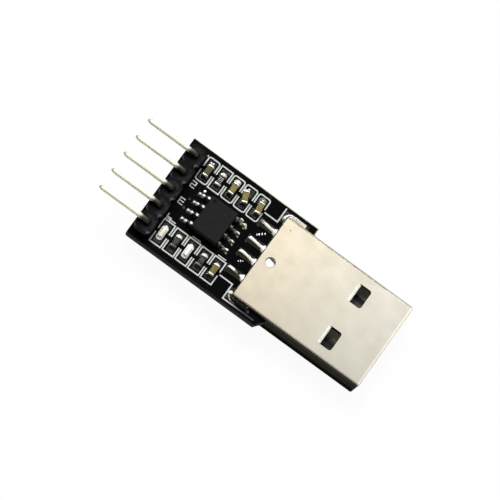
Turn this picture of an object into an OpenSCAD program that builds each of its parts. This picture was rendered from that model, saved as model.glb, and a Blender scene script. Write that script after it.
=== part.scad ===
// USB to serial adapter module: a black circuit board that carries a sunk plug,
// a bent five-pin header, an eight-lead chip and two rows of small parts.
// X runs from the header towards the plug's mouth, Z is up, and the module rests
// on the plug's underside at Z = 0. The origin is under the middle of the whole.

/* [Board] */
// Length of the board from the header end to the ends of its two ears
board_len = 18.65; // [18.15:0.1:22.15]
// Width of each of the two ears beside the plug
ear_w = 1.15; // [0.95:0.05:2.5]
// Thickness of the board
board_t = 1.6; // [1.0:0.1:2.0]
// Gap between the plug and the notch that it sits in
notch_gap = 0.1; // [0.05:0.01:0.2]
// Height of the score groove left along each long edge
score_h = 0.35; // [0.1:0.05:0.45]
// How far the score groove cuts in from each long edge
score_in = 0.12; // [0.05:0.01:0.2]
// Radius of the worn corner beside the last pin
corner_r = 0.5; // [0.2:0.1:1.0]
// Length of the slanting web left at the end of the ear beside the last pin
web_len = 1.2; // [0.8:0.1:1.4]
// Thickness of the solder pads
pad_t = 0.04; // [0.02:0.01:0.08]

/* [Plug] */
// Length of the plug's shell
plug_len = 18.65; // [17.5:0.05:20]
// Width of the plug's shell
plug_w = 12.1; // [11.9:0.05:12.2]
// Height of the plug's shell
plug_h = 4.5; // [4.4:0.05:4.7]
// Thickness of the shell's sheet
shell_t = 0.3; // [0.2:0.05:0.35]
// Outer radius of the shell's four long bends
shell_bend_r = 0.35; // [0.35:0.05:0.8]
// Radius of the corners of the mouth's outline, seen from above
mouth_r = 0.35; // [0.2:0.05:0.5]
// Radius of the mouth's lower edge, seen from the side
mouth_low_r = 0.6; // [0.3:0.05:0.7]
// Radius of the mouth's upper edge, seen from the side
mouth_high_r = 0.1; // [0.05:0.01:0.2]
// How far the shell's roof stands above the board
plug_rise = 0.7; // [0.6:0.05:1.0]
// How far the plug sits off the board's centre line
plug_shift = 0.05; // [0:0.05:0.1]
// Width of the seam along the shell's underside
seam_w = 0.06; // [0.04:0.01:0.1]
// Length of each window in the shell, along the plug
window_len = 1.4; // [1.3:0.05:2.2]
// Width of each window in the shell
window_w = 2.65; // [2.2:0.05:2.8]
// Distance between the centres of a pair of windows
window_spacing = 6.4; // [6.0:0.1:6.8]
// Distance from the plug's mouth to the windows
window_setback = 5.2; // [4.6:0.1:6.0]
// Radius of the windows' corners
window_r = 0.35; // [0.1:0.05:0.6]
// Length of the rolled lip behind each roof window
lip_len = 0.5; // [0.4:0.05:0.7]
// Diameter of the hole in the roof near the rear
hole_d = 1.34; // [1.1:0.02:1.5]
// Distance from the shell's rear edge to that hole's centre
hole_setback = 1.4; // [1.3:0.1:2.0]
// Length of the tabs that are soldered to the ears
tab_len = 2.3; // [1.8:0.1:2.6]
// Width of those tabs
tab_w = 0.45; // [0.35:0.05:0.5]
// Width of the pads that the tabs are soldered to, from the notch outwards
tab_pad_w = 0.45; // [0.4:0.05:0.55]

/* [Plug inside] */
// Gap between the insulator and the shell
insulator_gap = 0.05; // [0.02:0.01:0.1]
// Length of the insulator's rear block
block_len = 5.6; // [4.8:0.1:6.4]
// Thickness of the insulator's tongue
tongue_t = 1.9; // [1.7:0.05:2.0]
// How far the tongue ends behind the plug's mouth
tongue_setback = 0.4; // [0.2:0.1:0.8]
// Width of the four contacts
contact_w = 1.0; // [0.8:0.05:1.1]
// Thickness of the four contacts
contact_t = 0.2; // [0.15:0.01:0.24]
// Distance from the plug's centre line to the inner contacts
contact_inner_y = 1.0; // [0.9:0.05:1.1]
// Distance from the plug's centre line to the outer contacts
contact_outer_y = 3.5; // [3.3:0.05:3.7]
// How far behind the tongue's end the outer contacts stop
contact_setback = 0.9; // [0.6:0.1:1.4]
// How much further back the inner contacts stop
contact_stagger = 1.0; // [0.8:0.1:1.2]
// Length of the contacts' soldered tails
contact_tail = 2.3; // [1.8:0.1:2.5]
// How far the contacts' pads reach past their tails
contact_pad_reach = 0.3; // [0.25:0.05:0.5]
// Gap between those pads and what stands behind them on the board
tail_gap = 0.14; // [0.1:0.02:0.5]

/* [Header] */
// Number of pins
pin_count = 5; // [2:1:5]
// Distance between pins
pitch = 2.54; // [2.5:0.01:2.6]
// Side of the square pins
pin_side = 0.64; // [0.5:0.02:0.7]
// How far the pins reach past the end of the board
pin_reach = 5.8; // [4:0.05:8]
// Depth of the plastic strip
strip_depth = 2.3; // [2.1:0.1:2.6]
// Height of the plastic strip
strip_h = 1.9; // [1.5:0.1:2.6]
// Size of the cut corners of each cell of the strip
strip_cut = 0.42; // [0.2:0.02:0.6]
// Distance of the strip from the board's end
strip_inset = 0.18; // [0.05:0.01:0.55]
// Shift of the strip off the board's centre line
header_shift = -0.1; // [-0.1:0.05:0.1]
// Inner radius of the pins' bend
pin_bend_r = 0.25; // [0.2:0.05:0.6]
// How far the pins stick out under the board
pin_tail = 1.2; // [0.6:0.1:1.4]
// Length of the pins' pointed ends
pin_point = 0.5; // [0.2:0.1:0.8]
// Diameter of the plated holes for the pins
pin_hole_d = 1.02; // [1.0:0.02:1.2]

/* [Chip] */
// Distance from the board's end to the chip's centre
chip_x = 7.75; // [7.55:0.05:7.95]
// Shift of the chip off the board's centre line
chip_shift = 0.06; // [0:0.02:0.1]
// Width of the chip's body between its two rows of leads
chip_w = 3.9; // [3.7:0.1:4.0]
// Length of the chip's body
chip_len = 4.9; // [4.7:0.1:5.0]
// Height of the chip's body
chip_h = 1.4; // [1.2:0.1:1.6]
// Gap under the chip's body
chip_gap = 0.12; // [0.1:0.01:0.2]
// Draft of the chip's sides over half its height
chip_draft = 0.17; // [0.08:0.01:0.2]
// Distance between the chip's leads
lead_pitch = 1.27; // [1.25:0.01:1.27]
// Width of the chip's leads
lead_w = 0.42; // [0.35:0.01:0.5]
// Thickness of the chip's leads
lead_t = 0.2; // [0.15:0.01:0.24]
// Distance across the tips of the two rows of leads
lead_span = 6.0; // [5.8:0.1:6.2]
// Length of each lead's flat foot
foot_len = 0.62; // [0.5:0.02:0.7]

/* [Small parts] */
// Distance from the board's end to the first column of small parts
column_x = 3.61; // [3.55:0.02:3.65]
// Distance between the columns of small parts
column_pitch = 1.88; // [1.86:0.01:1.9]
// Distance from the centre line to the row on the left of the plug
row_left_y = 4.85; // [4.75:0.05:4.9]
// Distance from the centre line to the row on the right of the plug
row_right_y = 4.72; // [4.7:0.02:4.8]
// Length of each small part
part_len = 1.6; // [1.5:0.05:1.7]
// Width of each small part
part_w = 0.82; // [0.7:0.02:0.9]
// Height of the capacitors
capacitor_h = 0.75; // [0.5:0.05:0.9]
// Height of the resistors
resistor_h = 0.45; // [0.35:0.05:0.5]
// Height of the two lamps
lamp_h = 0.6; // [0.5:0.05:0.8]
// Length of the metal caps on the small parts' ends
cap_len = 0.32; // [0.2:0.02:0.4]
// Thickness of the metal on those caps
cap_t = 0.04; // [0.02:0.01:0.06]
// Side of the square pads under the small parts
land = 1.0; // [0.96:0.02:1.06]
// Distance between the outer ends of a pair of those pads
land_span = 2.7; // [2.6:0.05:2.75]

/* [Legend] */
// Thickness of the printed ink
ink_t = 0.03; // [0.02:0.01:0.05]
// Width of the printed lines
ink_w = 0.17; // [0.14:0.01:0.24]
// Width of the frame around each small part
frame_w = 1.76; // [1.7:0.02:1.8]
// Length of the frame around each small part
frame_len = 3.42; // [3.3:0.02:3.5]
// Gap between the two halves of a frame
frame_gap = 0.5; // [0.3:0.05:0.7]
// Height of the printed pin numbers
digit_h = 0.93; // [0.8:0.01:1.0]
// Width of the printed pin numbers
digit_w = 0.72; // [0.6:0.01:0.8]

/* [Hidden] */
$fn = 48;
cut = 0.5;                     // how far a cutting solid runs past what it cuts
bond = 0.02;                   // depth by which features of one sheet are merged

// Levels above the surface that the module rests on
board_top = plug_h - plug_rise;
board_bottom = board_top - board_t;
pad_top = board_top + pad_t;
tongue_top = shell_t + insulator_gap + tongue_t;

// Chip lands, measured from the chip's centre
chip_land_len = 1.4;
chip_land_w = 0.62;
land_toe = 0.5;                // how far the lands reach past the leads' tips
chip_land_out = lead_span / 2 + land_toe;
chip_mid_z = pad_top + chip_gap + chip_h / 2;
lead_bend_r = 0.12;            // inner radius of the leads' bends

// Places along the board, from its header end: the plug stands behind the last of the small
// parts and behind the chip, and what is left of the board beside it are its two ears
columns_end = column_x + 4 * column_pitch + frame_w / 2;
tail_x = max(columns_end, chip_x + chip_land_out) + tail_gap + contact_pad_reach;
plug_x = tail_x + contact_tail;
board_w = plug_w + 2 * (notch_gap + ear_w);
overall_len = pin_reach + plug_x + plug_len;
header_end_x = pin_reach - overall_len / 2;
notch_x = plug_x - notch_gap;
window_x = plug_x + plug_len - window_setback - window_len;
hole_x = plug_x + hole_setback;

// Pins
strip_len = pin_count * pitch;
pin_x = strip_inset + strip_depth / 2;
pin_centre_r = pin_bend_r + pin_side / 2;
pin_arm_z = board_top + strip_h + pin_centre_r;
function pin_y(i) = header_shift + ((pin_count - 1) / 2 - i) * pitch;

// Plug contacts, numbered from the +Y side
contact_y = [contact_outer_y, contact_inner_y, -contact_inner_y, -contact_outer_y];
step_x = plug_x + 0.45;        // where the contacts step down inside the insulator
block_w = plug_w - 2 * shell_t - 2 * insulator_gap;

// Each small part: kind, number, column, side of the board, shift along X and Y, turn
nudge = 0.1;                   // length that one unit of those shifts stands for
CAPACITOR = 0;
RESISTOR = 1;
LAMP = 2;
PARTS = [
    [CAPACITOR, 1, 0, 1, 0.2, -1.3, 0],
    [RESISTOR, 1, 1, 1, 0, -0.8, 0],
    [CAPACITOR, 2, 2, 1, 0, -0.5, 0],
    [CAPACITOR, 3, 3, 1, -1.4, 0, 22],
    [CAPACITOR, 4, 4, 1, 1.6, -0.6, 8],
    [LAMP, 1, 0, -1, -0.5, -0.4, -1],
    [RESISTOR, 2, 1, -1, 0.5, 0.4, 0],
    [LAMP, 2, 2, -1, -0.5, -0.5, 0],
    [RESISTOR, 3, 3, -1, 0.8, 0.4, 0],
    [CAPACITOR, 5, 4, -1, 0.4, -0.5, 0]];
function part_x(p) = column_x + p[2] * column_pitch;
function row_y(p) = p[3] > 0 ? row_left_y : -row_right_y;
function part_h(p) = [capacitor_h, resistor_h, lamp_h][p[0]];
function find(kind, number) = [for (p = PARTS) if (p[0] == kind && p[1] == number) p][0];

// Moves what is measured from the board's header end into the module's own frame
module in_place() {
    translate([header_end_x, 0, 0]) children();
}

// Box from one corner to the opposite one
module box(low, high) {
    translate(low) cube(high - low);
}

// Flat rectangle with round corners, centred
module round_rect(w, h, r) {
    square([w - 2 * r, h], center = true);
    square([w, h - 2 * r], center = true);
    for (x = [-1, 1], y = [-1, 1])
        translate([x * (w / 2 - r), y * (h / 2 - r)]) circle(r = r);
}

// Turns a flat profile drawn in X and Z into a bar of the given width along Y
module bar_along_y(w) {
    rotate([90, 0, 0]) translate([0, 0, -w / 2]) linear_extrude(w) children();
}

// Turns a flat profile drawn in Y and Z into a bar that runs along X
module bar_along_x(length) {
    rotate([90, 0, 90]) linear_extrude(length) children();
}

// Board

// Notch that the plug sits in, open at the ears' ends
module notch(height) {
    side = plug_w / 2 + notch_gap;
    box([notch_x, plug_shift - side, board_bottom - cut],
        [board_len + web_len + cut, plug_shift + side, board_bottom - cut + height]);
}

// Web at the end of the ear beside the last pin, widest at the plug
module ear_web() {
    reach = [0.2, 0.3, 0.45, 0.72, 0.98, 1.15, web_len];
    inwards = [0, 0.06, 0.25, 0.62, 0.9, 1.1, 1.4];
    translate([0, 0, board_bottom]) linear_extrude(board_t) polygon(concat(
        [[board_len - cut, ear_w + cut - board_w / 2], [board_len - cut, -board_w / 2]],
        [for (i = [0 : 6]) [board_len + web_len * reach[i] / 1.2, inwards[i] - board_w / 2]]));
}

// Groove left by scoring, one wedge at the upper and one at the lower edge of a side
module score_wedge() {
    translate([-cut, 0, 0]) bar_along_x(board_len + web_len + 2 * cut)
        polygon([[0, 0], [0, score_h], [-score_in, score_h]]);
}

module score_grooves() {
    for (side = [0, 1]) mirror([0, side, 0]) {
        translate([0, board_w / 2, board_top - score_h]) score_wedge();
        translate([0, board_w / 2, board_bottom + score_h]) mirror([0, 0, 1]) score_wedge();
    }
}

// Waste outside the worn corner beside the last pin
module corner_waste() {
    translate([corner_r, corner_r - board_w / 2, board_bottom - cut])
        difference() {
            box([-corner_r - cut, -corner_r - cut, 0], [0, 0, board_t + 2 * cut]);
            cylinder(r = corner_r, h = board_t + 2 * cut);
        }
}

module pin_holes() {
    for (i = [0 : pin_count - 1])
        translate([pin_x, pin_y(i), board_bottom - cut])
            cylinder(d = pin_hole_d, h = board_t + 2 * cut);
}

module circuit_board() {
    color([0.05, 0.05, 0.06]) in_place() difference() {
        union() {
            box([0, -board_w / 2, board_bottom], [board_len, board_w / 2, board_top]);
            ear_web();
        }
        notch(board_t + 2 * cut);
        score_grooves();
        corner_waste();
        pin_holes();
    }
}

// Pads

// Plate of pad metal on the board's top
module pad(x0, y0, x1, y1) {
    box([x0, y0, board_top], [x1, y1, pad_top]);
}

module part_pads() {
    for (p = PARTS, end = [-1, 1])
        translate([part_x(p), row_y(p) + end * (land_span - land) / 2, 0])
            pad(-land / 2, -land / 2, land / 2, land / 2);
}

module chip_pads() {
    for (side = [0, 1], i = [0 : 3])
        translate([chip_x, chip_shift + (i - 1.5) * lead_pitch, 0]) mirror([side, 0, 0])
            pad(chip_land_out - chip_land_len, -chip_land_w / 2, chip_land_out, chip_land_w / 2);
}

contact_pad_w = contact_w + 0.15;
pad_clear = 0.05;              // bare board between a pad and the notch
module contact_pads() {
    for (y = contact_y)
        translate([0, y + plug_shift, 0])
            pad(tail_x - contact_pad_reach, -contact_pad_w / 2, notch_x - pad_clear, contact_pad_w / 2);
}

// Pads of the shell's tabs, each along an ear and round the notch's corner
tab_pad_back = 0.6;            // how far they reach behind the plug
tab_pad_inward = 1.1;          // how far they reach inwards there
tab_pad_front = 0.4;           // how far they reach past the tabs
module tab_pads() {
    inner = plug_w / 2 + notch_gap;
    outer = inner + tab_pad_w;
    for (side = [0, 1]) translate([plug_x, plug_shift, 0]) mirror([0, side, 0]) {
        pad(-tab_pad_back, inner, tab_inset + tab_len + tab_pad_front, outer);
        pad(-tab_pad_back, inner - tab_pad_inward, -notch_gap - pad_clear, outer);
    }
}

// Rings round the pins on the underside
ring_w = 0.4;
module ring_pads() {
    for (i = [0 : pin_count - 1])
        translate([pin_x, pin_y(i), board_bottom - pad_t]) difference() {
            cylinder(d = pin_hole_d + 2 * ring_w, h = pad_t);
            translate([0, 0, -cut]) cylinder(d = pin_hole_d, h = pad_t + 2 * cut);
        }
}

// Two plated vias between the header and the chip
via_d = 0.34;
via_gap = 0.23;                // bare board between a via and the chip's pads
module vias() {
    for (y = [-0.5, 0.5])
        translate([chip_x - chip_land_out - via_gap - via_d / 2, chip_shift + y * lead_pitch, board_top])
            cylinder(d = via_d, h = pad_t);
}

module board_pads() {
    color([0.62, 0.62, 0.6]) in_place() {
        part_pads();
        chip_pads();
        contact_pads();
        tab_pads();
        ring_pads();
        vias();
    }
}

// Legend

// One line of ink between two points that lie along X or along Y
module ink_line(a, b) {
    low = [min(a[0], b[0]) - ink_w / 2, min(a[1], b[1]) - ink_w / 2];
    high = [max(a[0], b[0]) + ink_w / 2, max(a[1], b[1]) + ink_w / 2];
    translate([low[0], low[1], board_top]) cube([high[0] - low[0], high[1] - low[1], ink_t]);
}

// Frame round one small part, in two halves, with round or square outer corners
module part_frame(corner) {
    translate([0, 0, board_top]) difference() {
        linear_extrude(ink_t) difference() {
            round_rect(frame_w, frame_len, corner);
            round_rect(frame_w - 2 * ink_w, frame_len - 2 * ink_w, max(corner - ink_w, 0.02));
        }
        box([-frame_w, -frame_gap / 2, -cut], [frame_w, frame_gap / 2, cut]);
    }
}

// Short bar that marks a frame on its side towards the chip
bar_len = 1.2;
bar_gap = 0.12;                // bare board between the bar and the frame
bar_offset = frame_len / 2 + bar_gap;
module part_bars() {
    for (p = PARTS) if (p[3] < 0 && p[2] % 2 == 0)
        translate([part_x(p) - bar_len / 2, row_y(p) + bar_offset, board_top])
            cube([bar_len, ink_w * 0.8, ink_t]);
}

// Outline round the plug's rear, in two corners
outline_gap = 0.75;            // distance from the line behind the plug to the shell's rear edge
outline_edge = 0.49;           // distance from the lines along the ears to the board's long edges
module plug_outline() {
    outline_x = plug_x - outline_gap;
    start_x = columns_end + ink_w;
    edge_y = board_w / 2 - outline_edge;
    ink_line([start_x, row_left_y], [outline_x, row_left_y]);
    ink_line([outline_x, row_left_y], [outline_x, edge_y]);
    ink_line([start_x, -row_right_y], [outline_x, -row_right_y]);
    ink_line([outline_x, -row_right_y], [outline_x, -edge_y]);
    ink_line([outline_x, -edge_y], [board_len - ink_w, -edge_y]);
}

// Strokes of a plain number: a list of segments, each named by its place
TOP = 0;
UPPER_LEFT = 1;
UPPER_RIGHT = 2;
MIDDLE = 3;
LOWER_LEFT = 4;
LOWER_RIGHT = 5;
BOTTOM = 6;
stroke_w = 0.15;
module stroke(place) {
    x = digit_w / 2 - stroke_w / 2;
    y = digit_h / 2 - stroke_w / 2;
    ends = [[[-x, y], [x, y]], [[-x, 0], [-x, y]], [[x, 0], [x, y]], [[-x, 0], [x, 0]],
        [[-x, -y], [-x, 0]], [[x, -y], [x, 0]], [[-x, -y], [x, -y]]][place];
    half = [stroke_w / 2, stroke_w / 2];
    translate(ends[0] - half) square(ends[1] - ends[0] + 2 * half);
}

DIGITS = [[TOP, UPPER_RIGHT, MIDDLE, LOWER_LEFT, BOTTOM],
    [TOP, UPPER_RIGHT, MIDDLE, LOWER_RIGHT, BOTTOM],
    [UPPER_LEFT, UPPER_RIGHT, MIDDLE, LOWER_RIGHT]];
digit_gap = 0.32;              // bare board between the strip and the numbers
module pin_numbers() {
    for (i = [0 : min(2, pin_count - 2)])
        translate([strip_inset + strip_depth + digit_gap + digit_w / 2, pin_y(i + 1), board_top])
            rotate([0, 0, 180]) linear_extrude(ink_t) for (s = DIGITS[i]) stroke(s);
}

// Dot that marks the first pin
module first_pin_dot() {
    d = 1.5 * ink_w;
    translate([strip_inset + strip_depth + d * 0.4, pin_y(0) + pitch * 0.56, board_top])
        cylinder(d = d, h = ink_t);
}

round_corner_r = 0.36;         // of the frames round the capacitors on the +Y side
square_corner_r = 0.05;        // of all other frames
module board_legend() {
    color([0.85, 0.87, 0.86]) in_place() {
        for (p = PARTS)
            translate([part_x(p), row_y(p), 0])
                part_frame(p[0] == CAPACITOR && p[3] > 0 ? round_corner_r : square_corner_r);
        part_bars();
        plug_outline();
        pin_numbers();
        first_pin_dot();
    }
}

// Header

// One cell of the strip, with cut corners
module strip_cell() {
    d = strip_depth / 2;
    w = pitch / 2;
    c = strip_cut;
    polygon([[-d, -w + c], [-d + c, -w], [d - c, -w], [d, -w + c],
        [d, w - c], [d - c, w], [-d + c, w], [-d, w - c]]);
}

module header_strip() {
    color([0.09, 0.09, 0.1]) in_place() difference() {
        for (i = [0 : pin_count - 1])
            translate([pin_x, pin_y(i), board_top]) linear_extrude(strip_h) strip_cell();
        for (i = [0 : pin_count - 1])
            translate([pin_x, pin_y(i), board_top + strip_h / 2])
                cube([pin_side, pin_side, strip_h + 2 * cut], center = true);
    }
}

// Wedge shape that brings a pin to a blunt point, pointing up
module pin_end(length) {
    tip = pin_side * 0.2;
    intersection_for (turn = [0, 90]) rotate([0, 0, turn]) bar_along_y(pin_side)
        polygon([[-pin_side / 2, 0], [pin_side / 2, 0], [tip, length], [-tip, length]]);
}

// One pin: up through the board and the strip, over the bend and out past the board's end
module bent_pin() {
    foot_z = board_bottom - pin_tail + pin_point;
    bend_z = board_top + strip_h;
    box([-pin_side / 2, -pin_side / 2, foot_z], [pin_side / 2, pin_side / 2, bend_z]);
    translate([0, 0, foot_z]) mirror([0, 0, 1]) pin_end(pin_point);
    translate([-pin_centre_r, 0, bend_z]) rotate([90, 0, 0])
        rotate_extrude(angle = 90)
            translate([pin_centre_r, 0]) square(pin_side, center = true);
    arm = pin_x - pin_centre_r + pin_reach - pin_point;
    translate([-pin_centre_r, 0, pin_arm_z]) rotate([0, -90, 0]) {
        translate([0, 0, arm / 2]) cube([pin_side, pin_side, arm], center = true);
        translate([0, 0, arm]) pin_end(pin_point);
    }
}

module header_pin(i) {
    color([0.85, 0.82, 0.72]) in_place()
        if (i < pin_count) translate([pin_x, pin_y(i), 0]) bent_pin();
}

// Solder in each plated hole, with a cone round the pin under the board
joint_h = 0.7;
joint_spread = 0.3;            // how far the cone reaches over the ring
module header_solder() {
    color([0.75, 0.76, 0.77]) in_place()
        for (i = [0 : pin_count - 1]) translate([pin_x, pin_y(i), 0]) difference() {
            union() {
                translate([0, 0, board_bottom - pad_t]) cylinder(d = pin_hole_d, h = board_t + pad_t);
                translate([0, 0, board_bottom - pad_t - joint_h])
                    cylinder(d1 = pin_side * 1.5, d2 = pin_hole_d + 2 * joint_spread, h = joint_h);
            }
            box([-pin_side / 2, -pin_side / 2, board_bottom - joint_h - cut],
                [pin_side / 2, pin_side / 2, board_top + cut]);
        }
}

// Plug

// Moves what is measured from the middle of the shell's rear edge
module at_plug() {
    in_place() translate([plug_x, plug_shift, 0]) children();
}

module shell_tube() {
    translate([0, 0, plug_h / 2]) bar_along_x(plug_len) difference() {
        round_rect(plug_w, plug_h, shell_bend_r);
        round_rect(plug_w - 2 * shell_t, plug_h - 2 * shell_t, max(shell_bend_r - shell_t, 0.05));
    }
}

// Seam where the sheet's edges meet under the plug, with one dovetail half-way
dovetail_len = 2.6;
dovetail_w = 1.5;
module shell_seam() {
    neck = dovetail_len * 0.3;
    half = dovetail_len / 2;
    x = plug_len / 2;
    translate([0, 0, -cut]) linear_extrude(shell_t + 2 * cut) {
        translate([-cut, -seam_w / 2]) square([x - neck + cut + seam_w, seam_w]);
        translate([x + neck - seam_w, -seam_w / 2]) square([x - neck + cut + seam_w, seam_w]);
        difference() {
            polygon([[x - neck, -seam_w / 2], [x - half, dovetail_w],
                [x + half, dovetail_w], [x + neck, -seam_w / 2]]);
            polygon([[x - neck + seam_w, -seam_w], [x - half + seam_w * 1.4, dovetail_w - seam_w],
                [x + half - seam_w * 1.4, dovetail_w - seam_w], [x + neck - seam_w, -seam_w]]);
        }
    }
}

// Waste outside the rounded corners of the mouth's outline, on a shape of the given width
module mouth_waste(w, radii) {
    for (side = [0, 1]) mirror([0, side]) {
        r = radii[side];
        difference() {
            translate([plug_len - r, w / 2 - r]) square(r + cut);
            translate([plug_len - r, w / 2 - r]) circle(r = r);
        }
    }
}

// The two windows of the roof start behind the rolled lip, the floor's two are plain
module shell_windows() {
    for (side = [-1, 1]) translate([window_x - plug_x, side * window_spacing / 2, 0]) {
        translate([(window_len - lip_len) / 2, 0, plug_h - shell_t - cut])
            linear_extrude(shell_t + 2 * cut) round_rect(window_len + lip_len, window_w, window_r);
        translate([window_len / 2, 0, -cut])
            linear_extrude(shell_t + 2 * cut) round_rect(window_len, window_w, window_r);
    }
}

// Lip rolled down from the rear edge of a roof window
module window_lip() {
    r = lip_len;
    translate([-lip_len, 0, plug_h - r]) bar_along_y(window_w) intersection() {
        difference() {
            circle(r = r);
            circle(r = r - shell_t);
        }
        polygon([[-bond, 0], [-bond, 2 * r], [2 * r, 2 * r * 0.95], [0, 0]]);
    }
}

// Tab bent out of each side, flat on the ear's pad
tab_inset = 0.12;              // how far in front of the shell's rear edge the tabs start
module shell_tabs() {
    for (side = [0, 1]) mirror([0, side, 0])
        box([tab_inset, plug_w / 2 - bond, pad_top],
            [tab_inset + tab_len, plug_w / 2 + tab_w, pad_top + shell_t]);
}

module plug_shell() {
    color([0.86, 0.83, 0.76]) at_plug() {
        difference() {
            shell_tube();
            shell_seam();
            shell_windows();
            translate([0, 0, -cut]) linear_extrude(plug_h + 2 * cut) mouth_waste(plug_w, [mouth_r, mouth_r]);
            translate([0, 0, plug_h / 2]) bar_along_y(plug_w + 2 * cut)
                mouth_waste(plug_h, [mouth_high_r, mouth_low_r]);
            translate([hole_setback, 0, plug_h - shell_t - cut]) cylinder(d = hole_d, h = shell_t + 2 * cut);
        }
        for (side = [-1, 1]) translate([window_x - plug_x, side * window_spacing / 2, 0]) window_lip();
        shell_tabs();
    }
}

// One contact: tail on the board, step down inside the block, blade along the tongue
module contact_profile(i) {
    outer = abs(contact_y[i]) > contact_inner_y;
    end_x = plug_len - tongue_setback - contact_setback - (outer ? 0 : contact_stagger);
    tail_z = pad_top;
    blade_z = tongue_top - contact_t;
    x = step_x - plug_x;
    polygon([[tail_x - plug_x, tail_z], [x, tail_z], [x, blade_z], [end_x, blade_z],
        [end_x, blade_z + contact_t], [x + contact_t, blade_z + contact_t],
        [x + contact_t, tail_z + contact_t], [tail_x - plug_x, tail_z + contact_t]]);
}

module contact_solid(i) {
    translate([0, contact_y[i], 0]) bar_along_y(contact_w) contact_profile(i);
}

module plug_contact(i) {
    color([0.86, 0.72, 0.4]) at_plug() contact_solid(i);
}

// Peg of the insulator that shows in the roof's hole, and the hollow beside it
peg_gap = 0.12;                // between the peg and the hole's wall
peg_d = hole_d - 2 * peg_gap;
peg_turn = -13;
peg_cut = 0.3;                 // how far off its middle the peg is cut, as a share of its width
hollow_depth = 1.6;
module hole_peg() {
    translate([hole_setback, -peg_gap / 2, plug_h - shell_t - insulator_gap - bond])
        difference() {
            cylinder(d = peg_d, h = insulator_gap + bond + shell_t * 0.7);
            rotate([0, 0, peg_turn]) box([-peg_d, peg_d * peg_cut, -cut], [peg_d, peg_d, cut]);
        }
}

module hole_hollow() {
    translate([hole_setback, -peg_gap / 2, plug_h - hollow_depth]) intersection() {
        cylinder(d = hole_d * 1.1, h = hollow_depth);
        rotate([0, 0, peg_turn]) box([-hole_d, peg_d * peg_cut, 0], [hole_d, hole_d, hollow_depth]);
    }
}

// Outline of the block, clear of the shell on all sides and in its four bends
module insulator_outline() {
    translate([0, plug_h / 2]) round_rect(block_w, plug_h - 2 * (shell_t + insulator_gap),
        max(0.02, shell_bend_r - shell_t - insulator_gap));
}

block_inset = 0.15;            // how far in front of the shell's rear edge the block starts
module plug_insulator() {
    color([0.92, 0.92, 0.9]) at_plug() difference() {
        union() {
            translate([block_inset, 0, 0]) bar_along_x(block_len - block_inset) insulator_outline();
            translate([block_len - bond, 0, 0])
                bar_along_x(plug_len - tongue_setback - block_len + bond) intersection() {
                    insulator_outline();
                    translate([-plug_w / 2, 0]) square([plug_w, tongue_top]);
                }
            hole_peg();
        }
        hole_hollow();
        for (i = [0 : 3]) contact_solid(i);
    }
}

// Solder over the contacts' tails: a long low mound on each pad
tail_solder_h = 0.46;
tail_solder_reach = contact_pad_reach - 0.08;
module mound_profile(w, h) {
    r = (w * w / 4 + h * h) / (2 * h);
    intersection() {
        translate([0, h - r]) circle(r = r);
        translate([-w, 0]) square([2 * w, h + 1]);
    }
}

module plug_contact_solder() {
    color([0.75, 0.76, 0.77]) at_plug() difference() {
        for (y = contact_y)
            translate([tail_x - plug_x - tail_solder_reach, y, pad_top])
                bar_along_x(tail_solder_reach + contact_tail - notch_gap)
                    mound_profile(contact_pad_w, tail_solder_h);
        for (i = [0 : 3]) contact_solid(i);
    }
}

// Solder over the shell's tabs, and at the shell's rear corners
tab_solder_h = 0.5;
tab_solder_back = tab_pad_back - 0.1;
module plug_tab_solder() {
    inner = plug_w / 2;
    outer = inner + notch_gap + tab_pad_w;
    front = tab_inset + tab_len + tab_pad_front / 2;
    color([0.75, 0.76, 0.77]) at_plug() for (side = [0, 1]) mirror([0, side, 0]) difference() {
        translate([-tab_solder_back, 0, pad_top]) {
            bar_along_x(tab_solder_back + front) polygon([[inner, 0], [outer, 0], [outer - 0.04, 0.34],
                [inner + 0.12, tab_solder_h], [inner, tab_solder_h]]);
            bar_along_x(tab_solder_back) polygon([[inner - tab_pad_inward * 0.8, 0], [inner + bond, 0],
                [inner + bond, tab_solder_h], [inner - 0.3, tab_solder_h - 0.05]]);
        }
        box([tab_inset, inner - cut, pad_top - cut],
            [tab_inset + tab_len, inner + tab_w, pad_top + shell_t]);
    }
}

// Chip

// Block with all four sides drafted, widest at its foot
module drafted_block(w, l, h, draft) {
    intersection() {
        bar_along_y(l + cut) polygon([[-w / 2, 0], [w / 2, 0], [w / 2 - draft, h], [draft - w / 2, h]]);
        translate([-w, 0, 0]) bar_along_x(2 * w)
            polygon([[-l / 2, 0], [l / 2, 0], [l / 2 - draft, h], [draft - l / 2, h]]);
    }
}

module at_chip() {
    in_place() translate([chip_x, chip_shift, 0]) children();
}

// One lead in profile: root inside the body, shoulder, leg and foot, with round bends
module lead_profile() {
    foot_z = pad_top;
    root_z = chip_mid_z - lead_t / 2;
    r_in = lead_bend_r;
    r_out = lead_bend_r + lead_t;
    leg_x = lead_span / 2 - foot_len - lead_t;
    root_x = chip_w / 2 - 0.3;
    translate([root_x, root_z]) square([leg_x - r_in - root_x, lead_t]);
    translate([leg_x, foot_z + r_out]) square([lead_t, root_z + lead_t - r_out - foot_z - r_out]);
    translate([leg_x + r_out, foot_z]) square([lead_span / 2 - leg_x - r_out, lead_t]);
    translate([leg_x - r_in, root_z - r_in]) quarter_ring(r_in, r_out, 1, 1);
    translate([leg_x + r_out, foot_z + r_out]) quarter_ring(r_in, r_out, -1, -1);
}

// Quarter of a flat ring in the quadrant that the two signs give
module quarter_ring(r_in, r_out, sx, sy) {
    intersection() {
        difference() {
            circle(r = r_out);
            circle(r = r_in);
        }
        translate([min(0, sx) * r_out, min(0, sy) * r_out]) square(r_out);
    }
}

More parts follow.
